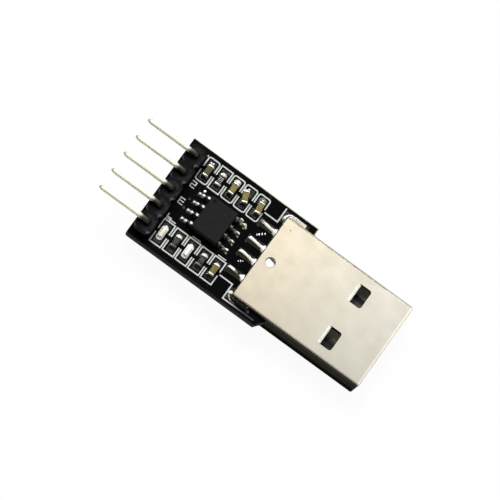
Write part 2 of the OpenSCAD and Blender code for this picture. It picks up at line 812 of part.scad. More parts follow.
// Leads 1 to 4 run down the header's side, 5 to 8 come back up the plug's side
function lead_y(i) = (i < 4 ? 1.5 - i : i - 5.5) * lead_pitch;
module lead_solid(i) {
    translate([0, lead_y(i), 0]) mirror([i < 4 ? 1 : 0, 0, 0]) bar_along_y(lead_w) lead_profile();
}

module chip_lead(i) {
    color([0.72, 0.72, 0.7]) at_chip() lead_solid(i);
}

dimple_d = 0.46;
dimple_inset = 0.55;           // from the edges of the chip's top to the dimple's centre
dimple_depth = 0.08;
module chip_body() {
    color([0.13, 0.13, 0.14]) at_chip() difference() {
        union() {
            translate([0, 0, chip_mid_z]) drafted_block(chip_w, chip_len, chip_h / 2, chip_draft);
            translate([0, 0, chip_mid_z]) mirror([0, 0, 1])
                drafted_block(chip_w, chip_len, chip_h / 2, chip_draft);
        }
        translate([dimple_inset - chip_w / 2 + chip_draft, chip_len / 2 - chip_draft - dimple_inset,
            chip_mid_z + chip_h / 2 - dimple_depth]) cylinder(d = dimple_d, h = cut);
        for (i = [0 : 7]) lead_solid(i);
    }
}

// Solder in front of each lead's foot and beside it
toe_len = 0.36;
module chip_solder() {
    color([0.75, 0.76, 0.77]) at_chip() difference() {
        for (i = [0 : 7]) translate([0, lead_y(i), 0]) mirror([i < 4 ? 1 : 0, 0, 0])
            bar_along_y(chip_land_w - 0.06) polygon([
                [lead_span / 2 - foot_len, pad_top], [lead_span / 2 + toe_len, pad_top],
                [lead_span / 2 + 0.1, pad_top + lead_t + 0.08],
                [lead_span / 2 - foot_len + 0.08, pad_top + lead_t * 0.6]]);
        for (i = [0 : 7]) lead_solid(i);
    }
}

// Small parts

// Moves what is measured from a small part's own middle, on its pads
module at_part(p) {
    in_place() translate([part_x(p) + p[4] * nudge, row_y(p) + p[5] * nudge, pad_top])
        rotate([0, 0, p[6]]) children();
}

// Body between and inside a part's two metal caps
module part_core(h) {
    box([cap_t - part_w / 2, cap_t - part_len / 2, cap_t],
        [part_w / 2 - cap_t, part_len / 2 - cap_t, h - cap_t]);
}

// Metal cap wrapped round each end, on five sides
module part_caps(h) {
    difference() {
        for (end = [0, 1]) mirror([0, end, 0])
            box([-part_w / 2, part_len / 2 - cap_len, 0], [part_w / 2, part_len / 2, h]);
        part_core(h);
    }
}

module capacitor_body(n) {
    color([0.62, 0.5, 0.28]) at_part(find(CAPACITOR, n)) part_core(capacitor_h);
}

module capacitor_caps(n) {
    color([0.8, 0.8, 0.78]) at_part(find(CAPACITOR, n)) part_caps(capacitor_h);
}

// Resistor: ceramic slab, black coat on its top between the caps
coat_t = 0.03;
module resistor_body(n) {
    color([0.88, 0.88, 0.86]) at_part(find(RESISTOR, n)) part_core(resistor_h);
}

module resistor_coat(n) {
    half = part_len / 2 - cap_len;
    color([0.06, 0.06, 0.07]) at_part(find(RESISTOR, n))
        box([cap_t - part_w / 2, -half, resistor_h - cap_t], [part_w / 2 - cap_t, half, resistor_h - cap_t + coat_t]);
}

module resistor_caps(n) {
    color([0.8, 0.8, 0.78]) at_part(find(RESISTOR, n)) part_caps(resistor_h);
}

// Lamp: thin base with half-round notches in its plated ends, and a clear block on it
lamp_base_h = 0.22;
notch_r = 0.17;
lamp_foot = 0.3;               // bare plated step outside the lens at each end
module lamp_outline() {
    difference() {
        square([part_w, part_len], center = true);
        for (end = [-1, 1]) translate([0, end * part_len / 2]) circle(r = notch_r);
    }
}

module lamp_base(n) {
    color([0.9, 0.88, 0.8]) at_part(find(LAMP, n)) translate([0, 0, cap_t])
        linear_extrude(lamp_base_h - cap_t) lamp_outline();
}

module lamp_lens(n) {
    color([0.96, 0.95, 0.88]) at_part(find(LAMP, n)) translate([0, -0.06, lamp_base_h])
        drafted_block(part_w, part_len - 2 * lamp_foot + 0.3, lamp_h - lamp_base_h, 0.05);
}

// Plated ends under the lamp's base
module lamp_caps(n) {
    color([0.8, 0.8, 0.78]) at_part(find(LAMP, n)) linear_extrude(cap_t) intersection() {
        lamp_outline();
        for (end = [-1, 1]) translate([0, end * (part_len / 2 - cap_len / 2)])
            square([part_w, cap_len], center = true);
    }
}

// Solder that slopes up to each end of a small part, along its own axis
fillet_len = 0.3;
fillet_h = 0.4;
module end_fillet(h) {
    rotate([0, 0, 90]) bar_along_y(part_w - 0.06)
        polygon([[part_len / 2, 0], [part_len / 2 + fillet_len, 0], [part_len / 2, h]]);
}

// Round blobs on the capacitors that were soldered by hand: part number, size and height as
// shares of the pad's side and of the part's height
BLOBS = [[2, 0.95, 0.83], [4, 1.0, 1.13]];
module blob(p, d, h) {
    r = (d * d / 4 + h * h) / (2 * h);
    difference() {
        in_place() translate([part_x(p), row_y(p) + (land_span - land) / 2, pad_top]) intersection() {
            translate([0, 0, h - r]) sphere(r = r);
            box([-d, -d, 0], [d, d, h + 1]);
        }
        at_part(p) box([-part_w / 2, -part_len / 2, -cut], [part_w / 2, part_len / 2, part_h(p)]);
    }
}

module part_solder() {
    color([0.75, 0.76, 0.77]) {
        for (p = PARTS, end = [0, 1]) {
            blobbed = p[0] == CAPACITOR && end == 0 && len([for (b = BLOBS) if (b[0] == p[1]) b]) > 0;
            if (!blobbed) at_part(p) mirror([0, end, 0]) end_fillet(min(part_h(p), fillet_h));
        }
        for (b = BLOBS) blob(find(CAPACITOR, b[0]), b[1] * land, b[2] * capacitor_h);
    }
}

circuit_board();
board_pads();
board_legend();
header_strip();
for (i = [0 : 4]) header_pin(i);
header_solder();
plug_shell();
plug_insulator();
for (i = [0 : 3]) plug_contact(i);
plug_contact_solder();
plug_tab_solder();
chip_body();
for (i = [0 : 7]) chip_lead(i);
chip_solder();
for (n = [1 : 5]) capacitor_body(n);
for (n = [1 : 5]) capacitor_caps(n);
for (n = [1 : 3]) resistor_body(n);
for (n = [1 : 3]) resistor_coat(n);
for (n = [1 : 3]) resistor_caps(n);
for (n = [1 : 2]) lamp_base(n);
for (n = [1 : 2]) lamp_lens(n);
for (n = [1 : 2]) lamp_caps(n);
part_solder();
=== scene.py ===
"""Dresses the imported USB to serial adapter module: shapes of solder, small parts and leads,
procedural finishes, and a plain pale stage. Lengths are in millimetres until a mesh is made."""
import math
import bmesh
import bpy
import numpy as np
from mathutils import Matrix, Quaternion, Vector


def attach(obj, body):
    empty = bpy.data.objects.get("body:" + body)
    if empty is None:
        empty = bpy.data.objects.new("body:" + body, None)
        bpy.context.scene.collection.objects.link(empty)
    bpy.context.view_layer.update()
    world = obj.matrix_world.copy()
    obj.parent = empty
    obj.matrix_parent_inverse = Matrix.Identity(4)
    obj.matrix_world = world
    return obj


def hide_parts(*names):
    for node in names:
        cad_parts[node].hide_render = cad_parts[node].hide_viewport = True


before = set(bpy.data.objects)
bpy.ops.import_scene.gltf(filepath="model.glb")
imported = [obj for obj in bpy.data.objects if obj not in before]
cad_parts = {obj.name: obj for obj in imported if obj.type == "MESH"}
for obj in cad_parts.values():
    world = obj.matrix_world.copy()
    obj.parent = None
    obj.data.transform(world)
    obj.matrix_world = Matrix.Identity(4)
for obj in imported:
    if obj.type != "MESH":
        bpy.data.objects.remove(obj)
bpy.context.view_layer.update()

bl_info = {
    "name": "Serial adapter module",
    "version": (1, 0, 0),
    "blender": (4, 5, 0),
    "location": "View3D > Sidebar > Adapter",
    "description": "Builds the dressed pieces of a plug-in serial adapter and its stage",
    "category": "Object",
}

MM = 0.001
BOARD_TOP = 3.8
PAD_TOP = 3.84
PART_SIZE = (0.82, 1.6)
CAP_LENGTH = 0.32
CONTACT_Y = (3.55, 1.05, -0.95, -3.45)
CHIP_MIDDLE = (-6.05, 0.06)
LEAD_ROWS = (1.905, 0.635, -0.635, -1.905)
PIN_Y = (4.98, 2.44, -0.1, -2.64, -5.18)
PIN_X, PIN_Z, PIN_WIDTH, PIN_BEND = -12.47, 6.27, 0.64, 0.57
STRIP_TOP = 5.7
# Middle and turn in degrees of each small part on its pads. The capacitors of BLOBBED, counted from
# 0, have a blob of solder at their +Y end.
CAPACITORS = ((-10.17, 4.72, 0), (-6.43, 4.8, 0), (-4.69, 4.85, 22), (-2.51, 4.79, 8),
              (-2.63, -4.77, 0))
BLOBBED = (1, 3)
RESISTORS = ((-8.31, 4.77, 0), (-8.26, -4.68, 0), (-4.47, -4.68, 0))
LAMPS = ((-10.24, -4.76, -1), (-6.48, -4.77, 0))
CAPACITOR_HEIGHT, RESISTOR_HEIGHT, LAMP_BASE_HEIGHT = 0.75, 0.45, 0.22
LEAD_TOP = 4.70
ROOF_TOP = 4.5

# Solder at each lead: along it from the chip's middle, across it, two radii, height and base
LEFT_DROPS = ((2.03, -0.02, 0.20, 0.19, 0.13, LEAD_TOP), (2.77, -0.01, 0.26, 0.24, 0.54, PAD_TOP),
              (3.27, 0.0, 0.19, 0.19, 0.30, PAD_TOP))
# On the right side, the first table's drops are painted cream-white as highlight and the second's olive
# as shade.
RIGHT_DROPS = ((3.24, 0.13, 0.27, 0.15, 0.24, PAD_TOP),)
SHADED_DROPS = ((1.92, 0.04, 0.17, 0.16, 0.11, LEAD_TOP), (2.24, 0.34, 0.10, 0.08, 0.34, PAD_TOP),
              (2.60, 0.10, 0.20, 0.15, 0.42, PAD_TOP), (2.86, -0.14, 0.16, 0.10, 0.24, PAD_TOP),
              (3.42, -0.32, 0.15, 0.14, 0.14, PAD_TOP))
# Small drops on the ends of two capacitors: radius, height and place
END_DROPS = ((0.15, 0.16, (-10.42, 5.90)), (0.13, 0.14, (-10.10, 5.94)), (0.16, 0.16, (-4.80, 5.98)))
# Specks of solder on the bare board behind the plug: place and radius
SPECKS = ((-0.90, 2.04, 0.11), (-0.70, 2.22, 0.15), (-0.42, 2.48, 0.13), (-0.14, 2.74, 0.12),
          (-0.84, -1.98, 0.09), (-0.64, -1.80, 0.12), (-0.42, -1.62, 0.09))
# Middle lines of the solder rims at the shell's two tabs
LEFT_RIM = ((0.60, 5.35), (0.70, 5.86), (0.90, 6.24), (1.3, 6.43), (1.9, 6.49), (2.6, 6.47))
RIGHT_RIM = ((0.58, -5.75), (0.60, -6.05), (0.78, -6.34), (1.15, -6.50), (1.7, -6.57), (2.4, -6.56))


# Settings a user would change

class AdapterColours(bpy.types.PropertyGroup):
    """Colours of the module's finishes."""
    def shade(name, text, value):
        return bpy.props.FloatVectorProperty(name=name, description=text, default=value,
                                             subtype="COLOR", size=3, min=0, max=1)
    mask: shade("Solder mask", "Glossy film over the board", (0.0022, 0.0022, 0.0028))
    laminate: shade("Laminate", "Glass-fibre board where its edges are cut", (0.20, 0.17, 0.08))
    legend: shade("Legend", "Printed lines and frames on the board", (0.62, 0.65, 0.61))
    header: shade("Header strip", "Moulded strip of the pin header", (0.0022, 0.0022, 0.0024))
    pin: shade("Pins", "Plating of the header's pins", (0.90, 0.865, 0.72))
    solder: shade("Solder", "Fresh solder", (0.86, 0.87, 0.88))
    shell_rear: shade("Shell, rear", "Plug's shell beside the board", (0.62, 0.56, 0.44))
    # Painted shade: the dark colour given to the shell's -Y side.
    shell_wall_shade: shade("Shell, walls", "Shaded side walls of the plug's shell", (0.128, 0.124, 0.116))
    shell_front: shade("Shell, mouth", "Plug's shell at its mouth", (0.57, 0.55, 0.485))
    insulator: shade("Insulator", "Moulded block and tongue inside the plug", (0.95, 0.95, 0.93))
    # Painted shade: the dark colour given to the tongue under the windows.
    tongue: shade("Tongue", "Moulded tongue under the windows", (0.050, 0.048, 0.041))
    contact: shade("Contacts", "Plating of the plug's contacts", (0.50, 0.42, 0.25))
    chip: shade("Chip", "Moulded body of the chip", (0.0105, 0.0105, 0.0104))
    tan: shade("Tan capacitors", "Fired body of four capacitors", (0.215, 0.175, 0.045))
    grey: shade("Grey capacitor", "Fired body of the first capacitor", (0.083, 0.071, 0.028))
    lens: shade("Lamp lens", "Milky resin of the lamps", (0.98, 0.97, 0.92))


class AdapterSizes(bpy.types.PropertyGroup):
    """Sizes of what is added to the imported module, in millimetres."""
    def length(name, text, value):
        return bpy.props.FloatProperty(name=name, description=text, default=value,
                                       min=0, max=2, precision=3)
    tail_mound: length("Contact mounds", "Height of the solder on the plug's contacts", 0.36)
    end_mound: length("End mounds", "Height of the solder at the small parts' ends", 0.34)
    edge: length("Moulded edges", "Width of the rounded edges of the header strip", 0.06)
    cap_round: length("Cap edges", "Radius of the edges of the small parts' metal caps", 0.13)


# Surfaces

def closed_rings(rings):
    """Closed surface through rings of points, shape (rings, around, 3): neighbours are joined by
    quads, and each end by a fan to the mean of its ring. Faces point outwards."""
    count, around = rings.shape[:2]
    ends = rings[[0, -1]].mean(axis=1)
    points = np.concatenate([rings.reshape(-1, 3), ends])
    i, j = np.meshgrid(np.arange(count - 1), np.arange(around), indexing="ij")
    k = (j + 1) % around
    walls = np.stack([i * around + j, i * around + k, (i + 1) * around + k, (i + 1) * around + j], -1)
    walls = walls.reshape(-1, 4)
    j = np.arange(around)
    k = (j + 1) % around
    first = np.stack([np.full(around, len(points) - 2), k, j], -1)
    top = (count - 1) * around
    last = np.stack([np.full(around, len(points) - 1), top + j, top + k], -1)
    fans = np.concatenate([first, last])
    corner = np.concatenate([points[walls[:, [0, 1, 2]]], points[walls[:, [0, 2, 3]]], points[fans]])
    volume = np.einsum("ij,ij->", corner[:, 0], np.cross(corner[:, 1], corner[:, 2]))
    if volume < 0:
        walls, fans = walls[:, ::-1], fans[:, ::-1]
    return points, walls.tolist() + fans.tolist()


def turned(points, middle, degrees):
    """Points turned about the vertical by an angle, then moved to a place on the board."""
    a = math.radians(degrees)
    x, y = points[..., 0], points[..., 1]
    return np.stack([middle[0] + x * math.cos(a) - y * math.sin(a),
                     middle[1] + x * math.sin(a) + y * math.cos(a), points[..., 2]], -1)


def mound(rx, ry, height, base=PAD_TOP, power=2.0, slump=0.75, climb=(0, 0), steps=9, around=28):
    """Drop of solder on a flat foot. With r from 0 at the middle to 1 at the rim and t round it,
    x = rx r cos t, y = ry r sin t and z = base + height (1 - r^power)^slump (1 + climb . (x/rx, y/ry)).
    A high power and a low slump give it a flat top."""
    r = np.sin(np.linspace(math.pi / 2, 0.06, steps))[:, None]
    t = np.linspace(0, 2 * math.pi, around, endpoint=False)[None, :]
    rise = np.clip(1 - r ** power, 0, 1) ** slump
    x = rx * r * np.cos(t)
    y = ry * r * np.sin(t)
    z = base + height * rise * (1 + r * (climb[0] * np.cos(t) + climb[1] * np.sin(t)))
    return np.stack([x, y, z], -1)


def ridge(path, half, height, base, power, slump, fall=0.0, slope=0.0, crest=0.0, across=21):
    """Bank of solder that runs along a path in plan. At each station v goes from -1 to 1 across, the
    side step is half v, and u is v measured from the crest, -1 and 1 at the rims. On the left,
    z = base + height (1 - u^power)^slump (1 - fall u); on the right the same without a fall, mixed
    by its slope with an even fall to the foot, 1 - |u|. It is closed by a flat foot."""
    path = np.asarray(path, float)
    along = np.gradient(path, axis=0)
    along /= np.linalg.norm(along, axis=1, keepdims=True)
    side = np.stack([-along[:, 1], along[:, 0]], -1)
    fall, slope, crest = (np.reshape(value, (-1, 1)) for value in (fall, slope, crest))
    u = np.sin(np.linspace(-math.pi / 2, math.pi / 2, across)) + 0 * crest
    v = np.where(u < 0, crest + u * (1 + crest), crest + u * (1 - crest))
    bulge = np.clip(1 - np.abs(u) ** power, 0, 1) ** slump
    right = slope * (1 - np.abs(u)) + (1 - slope) * bulge
    rise = np.where(u < 0, right, bulge * (1 - fall * u))
    plan = path[:, None] + side[:, None] * (np.asarray(half)[:, None] * v)[..., None]
    z = base + np.asarray(height)[:, None] * rise
    over = np.concatenate([plan, z[..., None]], -1)
    foot = over[:, 1:-1][:, ::-1].copy()
    foot[..., 2] = base
    return np.concatenate([over, foot], axis=1)


def bar(path, size, power, scale=1.0, around=28):
    """Bar carried along a path in the upright plane y = 0, given as (x, z). Its section has
    |a / half width|^power + |b / half height|^power = 1, times a scale for each station."""
    path = np.asarray(path, float)
    along = np.gradient(path, axis=0)
    along /= np.linalg.norm(along, axis=1, keepdims=True)
    t = np.linspace(0, 2 * math.pi, around, endpoint=False)
    c, s = np.cos(t), np.sin(t)
    across = np.sign(c) * np.abs(c) ** (2 / power) * size[0] / 2
    out = np.sign(s) * np.abs(s) ** (2 / power) * size[1] / 2
    scale = np.reshape(scale, (-1, 1)) * np.ones((len(path), 1))
    return np.stack([path[:, :1] - along[:, 1:] * out * scale, 0 * scale + across * scale,
                     path[:, 1:] + along[:, :1] * out * scale], -1)


def arc(middle, radius, start, end, count=9):
    """Points (x, z) on a circle between two angles in degrees."""
    t = np.radians(np.linspace(start, end, count))
    return np.stack([middle[0] + radius * np.cos(t), middle[1] + radius * np.sin(t)], -1)


def rounded_block(low, high, radius, steps=4, taper=0.0):
    """Box with round edges: a sphere's grid whose eight octants are moved apart to the corners,
    so that each point is corner + radius (cos a cos b, sin a cos b, sin b). The sides may taper
    inwards with height by the given length."""
    low, high = np.asarray(low, float), np.asarray(high, float)
    inner, middle = (high - low) / 2 - radius, (high + low) / 2
    quarter = np.linspace(0, math.pi / 2, steps + 1)
    a = np.concatenate([quarter + k * math.pi / 2 for k in range(4)])
    sx = np.repeat([1, -1, -1, 1], steps + 1)
    sy = np.repeat([1, 1, -1, -1], steps + 1)
    b = np.concatenate([-quarter[::-1], quarter])[:, None]
    sz = np.repeat([-1, 1], steps + 1)[:, None]
    points = np.stack([sx * inner[0] + radius * np.cos(a) * np.cos(b),
                       sy * inner[1] + radius * np.sin(a) * np.cos(b),
                       sz * inner[2] + radius * np.sin(b) + 0 * a], -1)
    share = (points[..., 2:] / (high - low)[2] + 0.5) * taper
    points[..., :2] -= share * np.sign(points[..., :2])
    return points + middle


def collar(middle, radii, heights, around=32):
    """Surface of revolution: a ring of each radius at each height round an upright line."""
    t = np.linspace(0, 2 * math.pi, around, endpoint=False)
    r = np.asarray(radii, float)[:, None]
    z = np.asarray(heights, float)[:, None]
    return np.stack([middle[0] + r * np.cos(t), middle[1] + r * np.sin(t), z + 0 * t], -1)


def smooth_path(points, count):
    """Evenly stepped curve through a few points: Catmull-Rom weights on whole arrays."""
    p = np.asarray(points, float)
    p = np.concatenate([2 * p[:1] - p[1:2], p, 2 * p[-1:] - p[-2:-1]])
    u = np.linspace(0, len(p) - 3 - 1e-9, count)
    i = u.astype(int)
    t = (u - i)[:, None]
    return 0.5 * (2 * p[i + 1] + (p[i + 2] - p[i]) * t
                  + (2 * p[i] - 5 * p[i + 1] + 4 * p[i + 2] - p[i + 3]) * t ** 2
                  + (3 * p[i + 1] - p[i] - 3 * p[i + 2] + p[i + 3]) * t ** 3)


# Pieces

def piece(name, surfaces, material, nodes=(), slot=None, sharp=50):
    """One object from closed surfaces, given as rings in millimetres. It rides on the module,
    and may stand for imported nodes."""
    points, faces, start = [], [], 0
    for rings in surfaces:
        own_points, own_faces = closed_rings(rings)
        points.append(own_points)
        faces += [[start + i for i in face] for face in own_faces]
        start += len(own_points)
    mesh = bpy.data.meshes.new(name)
    mesh.from_pydata((np.concatenate(points) * MM).tolist(), [], faces)
    tidy_mesh(mesh, sharp)
    return place(bpy.data.objects.new(name, mesh), material, nodes, slot)


def solder_piece(name, surfaces, finish, node):
    """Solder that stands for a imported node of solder, or for a share of it."""
    return piece(name, surfaces, finish, [node], "solder", 70)


def tidy_mesh(mesh, sharp, flat=False):
    """Merges doubles, and flat faces too where asked, and shades smooth up to an angle in degrees."""
    work = bmesh.new()
    work.from_mesh(mesh)
    bmesh.ops.remove_doubles(work, verts=work.verts, dist=2e-7)
    bmesh.ops.dissolve_degenerate(work, edges=work.edges, dist=1e-7)
    if flat:
        bmesh.ops.dissolve_limit(work, angle_limit=math.radians(1), verts=work.verts,
                                 edges=work.edges)
    for face in work.faces:
        face.smooth = True
    work.to_mesh(mesh)
    work.free()
    mesh.set_sharp_from_angle(angle=math.radians(sharp))


def place(thing, material, nodes, slot):
    """Puts an object in the scene with its finish, parents it to the module's body and hides the
    imported nodes it stands for.
    """
    bpy.context.scene.collection.objects.link(thing)
    thing.data.materials.clear()
    thing.data.materials.append(material)
    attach(thing, "root")
    if nodes:
        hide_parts(*nodes)
    return thing


def even_faces(thing):
    """Keeps broad faces flat beside their round edges."""
    thing.modifiers.new("Flat faces", "WEIGHTED_NORMAL").keep_sharp = True


def rounded_copy(node, material, width, slot):
    """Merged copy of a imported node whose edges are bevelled, in the node's place."""
    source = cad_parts[node]
    mesh = source.data.copy()
    mesh.name = node + "_shape"
    for name in [a.name for a in mesh.attributes if a.name == "custom_normal"]:
        mesh.attributes.remove(mesh.attributes[name])
    tidy_mesh(mesh, 40, flat=True)
    thing = place(bpy.data.objects.new(node + "_shape", mesh), material, [node], slot)
    bevel = thing.modifiers.new("Edges", "BEVEL")
    bevel.width = width * MM
    bevel.segments = 3
    bevel.limit_method = "ANGLE"
    bevel.angle_limit = math.radians(30)
    bevel.harden_normals = True
    return thing


def dress(material, *nodes):
    """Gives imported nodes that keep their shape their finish."""
    for node in nodes:
        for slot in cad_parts[node].material_slots:
            slot.material = material


# Finishes

class Wire:
    """Socket on its way through a material. Arithmetic on it adds Math nodes."""

    def __init__(self, bench, socket):
        self.bench, self.socket = bench, socket

    def math(self, operation, *values):
        return self.bench.add("ShaderNodeMath", {"operation": operation}, *values)

    def __add__(self, other): return self.math("ADD", self, other)
    def __sub__(self, other): return self.math("SUBTRACT", self, other)
    def __mul__(self, other): return self.math("MULTIPLY", self, other)
    def __truediv__(self, other): return self.math("DIVIDE", self, other)
    def __pow__(self, other): return self.math("POWER", self, other)
    def __abs__(self): return self.math("ABSOLUTE", self)
    def __rsub__(self, other): return self.math("SUBTRACT", other, self)
    __radd__ = __add__

    def step(self, low, high):
        """0 below low, 1 above high, and an even S between them."""
        return self.bench.add("ShaderNodeMapRange", {"interpolation_type": "SMOOTHSTEP"},
                              self, low, high, 0.0, 1.0)


class Bench:
    """Node tree of one finish, with places measured in millimetres."""

    def __init__(self, name, owner=None):
        self.block = owner or bpy.data.materials.new(name)
        self.block.use_nodes = True
        self.tree = self.block.node_tree
        if owner is None:
            self.shader = self.tree.nodes["Principled BSDF"]
            own = self.add("ShaderNodeTexCoord", {}, out="Object")
            self.place = self.add("ShaderNodeMapping", {}, own, Scale=(1000, 1000, 1000))

    def add(self, kind, settings, *values, out=0, **named):
        """Any node: settings first, then values or wires for its sockets, in order or by name."""
        node = self.tree.nodes.new(kind)
        for key, value in settings.items():
            if key == "stops":
                for stop, (at, colour) in zip(self.stops(node, len(value)), value):
                    stop.position, stop.color = at, (*colour, 1)
            else:
                setattr(node, key, value)
        pairs = list(zip(node.inputs, values))
        pairs += [(node.inputs[key.replace("_", " ")], value) for key, value in named.items()]
        for socket, value in pairs:
            self.feed(socket, value)
        return Wire(self, node.outputs[out])

    @staticmethod
    def stops(node, count):
        ramp = node.color_ramp
        while len(ramp.elements) < count:
            ramp.elements.new(0.5)
        return ramp.elements

    def feed(self, socket, value):
        if isinstance(value, Wire):
            self.tree.links.new(value.socket, socket)
        elif value is not None:
            if socket.type == "RGBA" and len(value) == 3:
                value = (*value, 1)
            socket.default_value = value

    def axes(self, place=None):
        """The three parts of a place, as wires."""
        node = self.tree.nodes.new("ShaderNodeSeparateXYZ")
        self.feed(node.inputs[0], place or self.place)
        return [Wire(self, socket) for socket in node.outputs]

    def stretched(self, scale, turn=(0, 0, 0)):
        """The place, scaled and turned."""
        return self.add("ShaderNodeMapping", {}, self.place, Scale=scale, Rotation=turn)

    def noise(self, scale, detail=2.0, rough=0.5, place=None):
        """Smooth noise with features of about 1 / scale millimetres."""
        return self.add("ShaderNodeTexNoise", {}, place or self.place,
                        Scale=scale, Detail=detail, Roughness=rough)

    def cells(self, scale, place):
        """Distance to the nearest of scattered points, about 1 / scale millimetres apart."""
        return self.add("ShaderNodeTexVoronoi", {}, place, out="Distance", Scale=scale)

    def blend(self, share, first, second):
        """Mix of two colours."""
        node = self.tree.nodes.new("ShaderNodeMix")
        node.data_type = "RGBA"
        for index, value in ((0, share), (6, first), (7, second)):
            self.feed(node.inputs[index], value)
        return Wire(self, node.outputs[2])

    def layers(self, base, *coats):
        """A colour with others laid over it in turn, each given as its share and its colour."""
        for share, colour in coats:
            base = self.blend(share, base, colour)
        return base

    def spread(self, share, colour, dark, light):
        """A colour made darker and lighter by noise."""
        return self.blend(share, [c * dark for c in colour], [min(c * light, 1) for c in colour])

    def facing(self):
        """The surface's direction, as three wires."""
        return self.axes(self.add("ShaderNodeNewGeometry", {}, out="True Normal"))

    def away(self, middle):
        """Distance to a point."""
        return self.add("ShaderNodeVectorMath", {"operation": "DISTANCE"}, self.place, middle,
                        out="Value")

    def spot(self, middle, radius, soft):
        """1 inside a ball round a point, 0 outside it."""
        return 1 - self.away(middle).step(radius - soft, radius + soft)

    def bump(self, height, depth, under=None):
        """Bump from a height between 0 and 1, depth in millimetres, over another bump."""
        return self.add("ShaderNodeBump", {}, 1.0, depth * MM, Height=height, Normal=under)

    def over(self, share, **sockets):
        """Lays a second shader over the first by a mask."""
        second = self.add("ShaderNodeBsdfPrincipled", {}, **sockets)
        mixed = self.add("ShaderNodeMixShader", {}, share, Wire(self, self.shader.outputs[0]), second)
        self.feed(self.tree.nodes["Material Output"].inputs["Surface"], mixed)
        return self.block

    def finish(self, colour, rough, metal=0.0, normal=None, **fixed):
        """Feeds the shader; what is the same all over is set on the shader's own sockets."""
        self.feed(self.shader.inputs["Base Color"], colour)
        self.feed(self.shader.inputs["Roughness"], rough)
        self.feed(self.shader.inputs["Metallic"], metal)
        self.feed(self.shader.inputs["Normal"], normal)
        for key, value in fixed.items():
            self.feed(self.shader.inputs[key.replace("_", " ")], value)
        return self.block


def mask_finish(colours):
    """Glossy black film, wavy over the weave and tracks, rubbed bare along the +Y edge. The cut
    edges are bare laminate, painted black on the -Y side as shade."""
    shaded_edge_black, grey_dust = (0.040, 0.040, 0.040), (0.0045, 0.0045, 0.005)
    scratched, scuffed = (0.05, 0.05, 0.05), (0.22, 0.20, 0.15)
    bare_rear, bare_front = (0.30, 0.23, 0.08), (0.88, 0.80, 0.46)
    b = Bench("board_mask")
    x, y = b.axes()[:2]
    nz = b.facing()[2]
    edge = 1 - abs(nz).step(0.80, 0.93)
    weave = b.noise(2.2, 1.0) * 0.5 + b.noise(9.0, 2.0) * 0.2
    fibres = b.noise(1.0, 3.0, 0.6, b.stretched((2.5, 2.5, 26)))
    cut = b.spread(fibres.step(0.3, 0.75), colours.laminate, 0.45, 1.5)
    # Painted shade: the cut edge on the -Y side is made black.
    cut = b.blend(y.step(-6.0, -5.0), b.spread(fibres, shaded_edge_black, 0.6, 1.4), cut)
    dust = b.noise(1.7, 3.0, 0.6).step(0.56, 0.75)
    scratch = 1 - b.cells(0.5, b.stretched((1, 6, 1), (0, 0, 0.6))).step(0.004, 0.02)
    chips = b.noise(1.1, 3.0, 0.7).step(0.42, 0.60)
    front = x.step(-5.0, 0.5)
    side = y.step(7.09, 7.16) * (0.35 + chips * 0.3 + front * 0.35)
    bare = side.math("MAXIMUM", side, x.step(4.69, 4.75) * y.step(6.2, 6.4) * 0.7)
    scuff = y.step(6.65, 6.95) * b.noise(1.6, 4.0, 0.75).step(0.62, 0.70)
    film = b.layers(tuple(colours.mask), (dust * 0.5, grey_dust), (scratch * 0.25, scratched),
                    (bare, b.blend(front, bare_rear, bare_front)), (scuff * 0.45, scuffed))
    b.finish(film, 0.12 + dust * 0.06 + bare * 0.4, normal=b.bump(weave, 0.006), Specular_IOR_Level=0.4)
    return b.over(edge, Base_Color=cut, Roughness=0.7, Normal=b.bump(b.noise(14.0, 2.0), 0.004),
                  Specular_IOR_Level=0.02)


def metal_finish(name, colour, low, high, scale, depth, dark, metal=1.0):
    """Metal with noise in its colour, in its gloss from low to high, and in its level."""
    b = Bench(name)
    level = b.noise(scale, 3.0, 0.6)
    cloud = b.noise(scale * 0.4, 2.0)
    return b.finish(b.spread(cloud.step(0.25, 0.7), colour, dark, 1.04), low + level * (high - low),
                    metal, b.bump(level, depth))


def strip_finish(colours):
    """Moulded black strip with rubbed patches. A paler ring is painted light on each cell's lit side
    and towards the strip's inner side, leaving painted shade round each pin's root, with a faint glint
    on the cut corner between two cells."""
    ring, glint_grey, wear_and_shade = (0.020, 0.020, 0.0225), (0.085, 0.085, 0.09), (0.13, 0.13, 0.13)
    b = Bench("header_plastic")
    fine, cloud = b.noise(26.0, 3.0, 0.6), b.noise(2.6, 3.0, 0.65)
    x = b.axes()[0]
    # Painted light: a paler ring on the lit side of each cell and towards the inner side; painted shade
    # stays round each root.
    pale, glint = 0.0, 0.0
    for pin in PIN_Y:
        away = b.away((PIN_X + 0.02, pin - 0.10, STRIP_TOP))
        pale = pale + away.step(0.55, 0.75) * (1 - away.step(0.95, 1.25))
        glint = glint + b.spot((-11.62, pin - 1.10, STRIP_TOP), 0.26, 0.12)
    pale = pale * (x * 0.8 + 7.2 + b.noise(0.4, 1.0) * 4.0).step(-1.4, -0.3)
    pale = pale * (0.2 + cloud.step(0.36, 0.60) * 0.8)
    pale = pale + x.step(-11.75, -11.5) * cloud.step(0.5, 0.7) * 0.6
    rub = b.noise(4.5, 4.0, 0.7).step(0.60, 0.68) * b.noise(19.0, 2.0).step(0.5, 0.62)
    base = b.layers(tuple(colours.header), (pale.math("MINIMUM", pale, 1.0), ring),
                    (glint * cloud.step(0.25, 0.45), glint_grey), (rub * 0.4, wear_and_shade))
    return b.finish(base, 0.46 + fine * 0.16, normal=b.bump(fine, 0.008), Specular_IOR_Level=0.06)


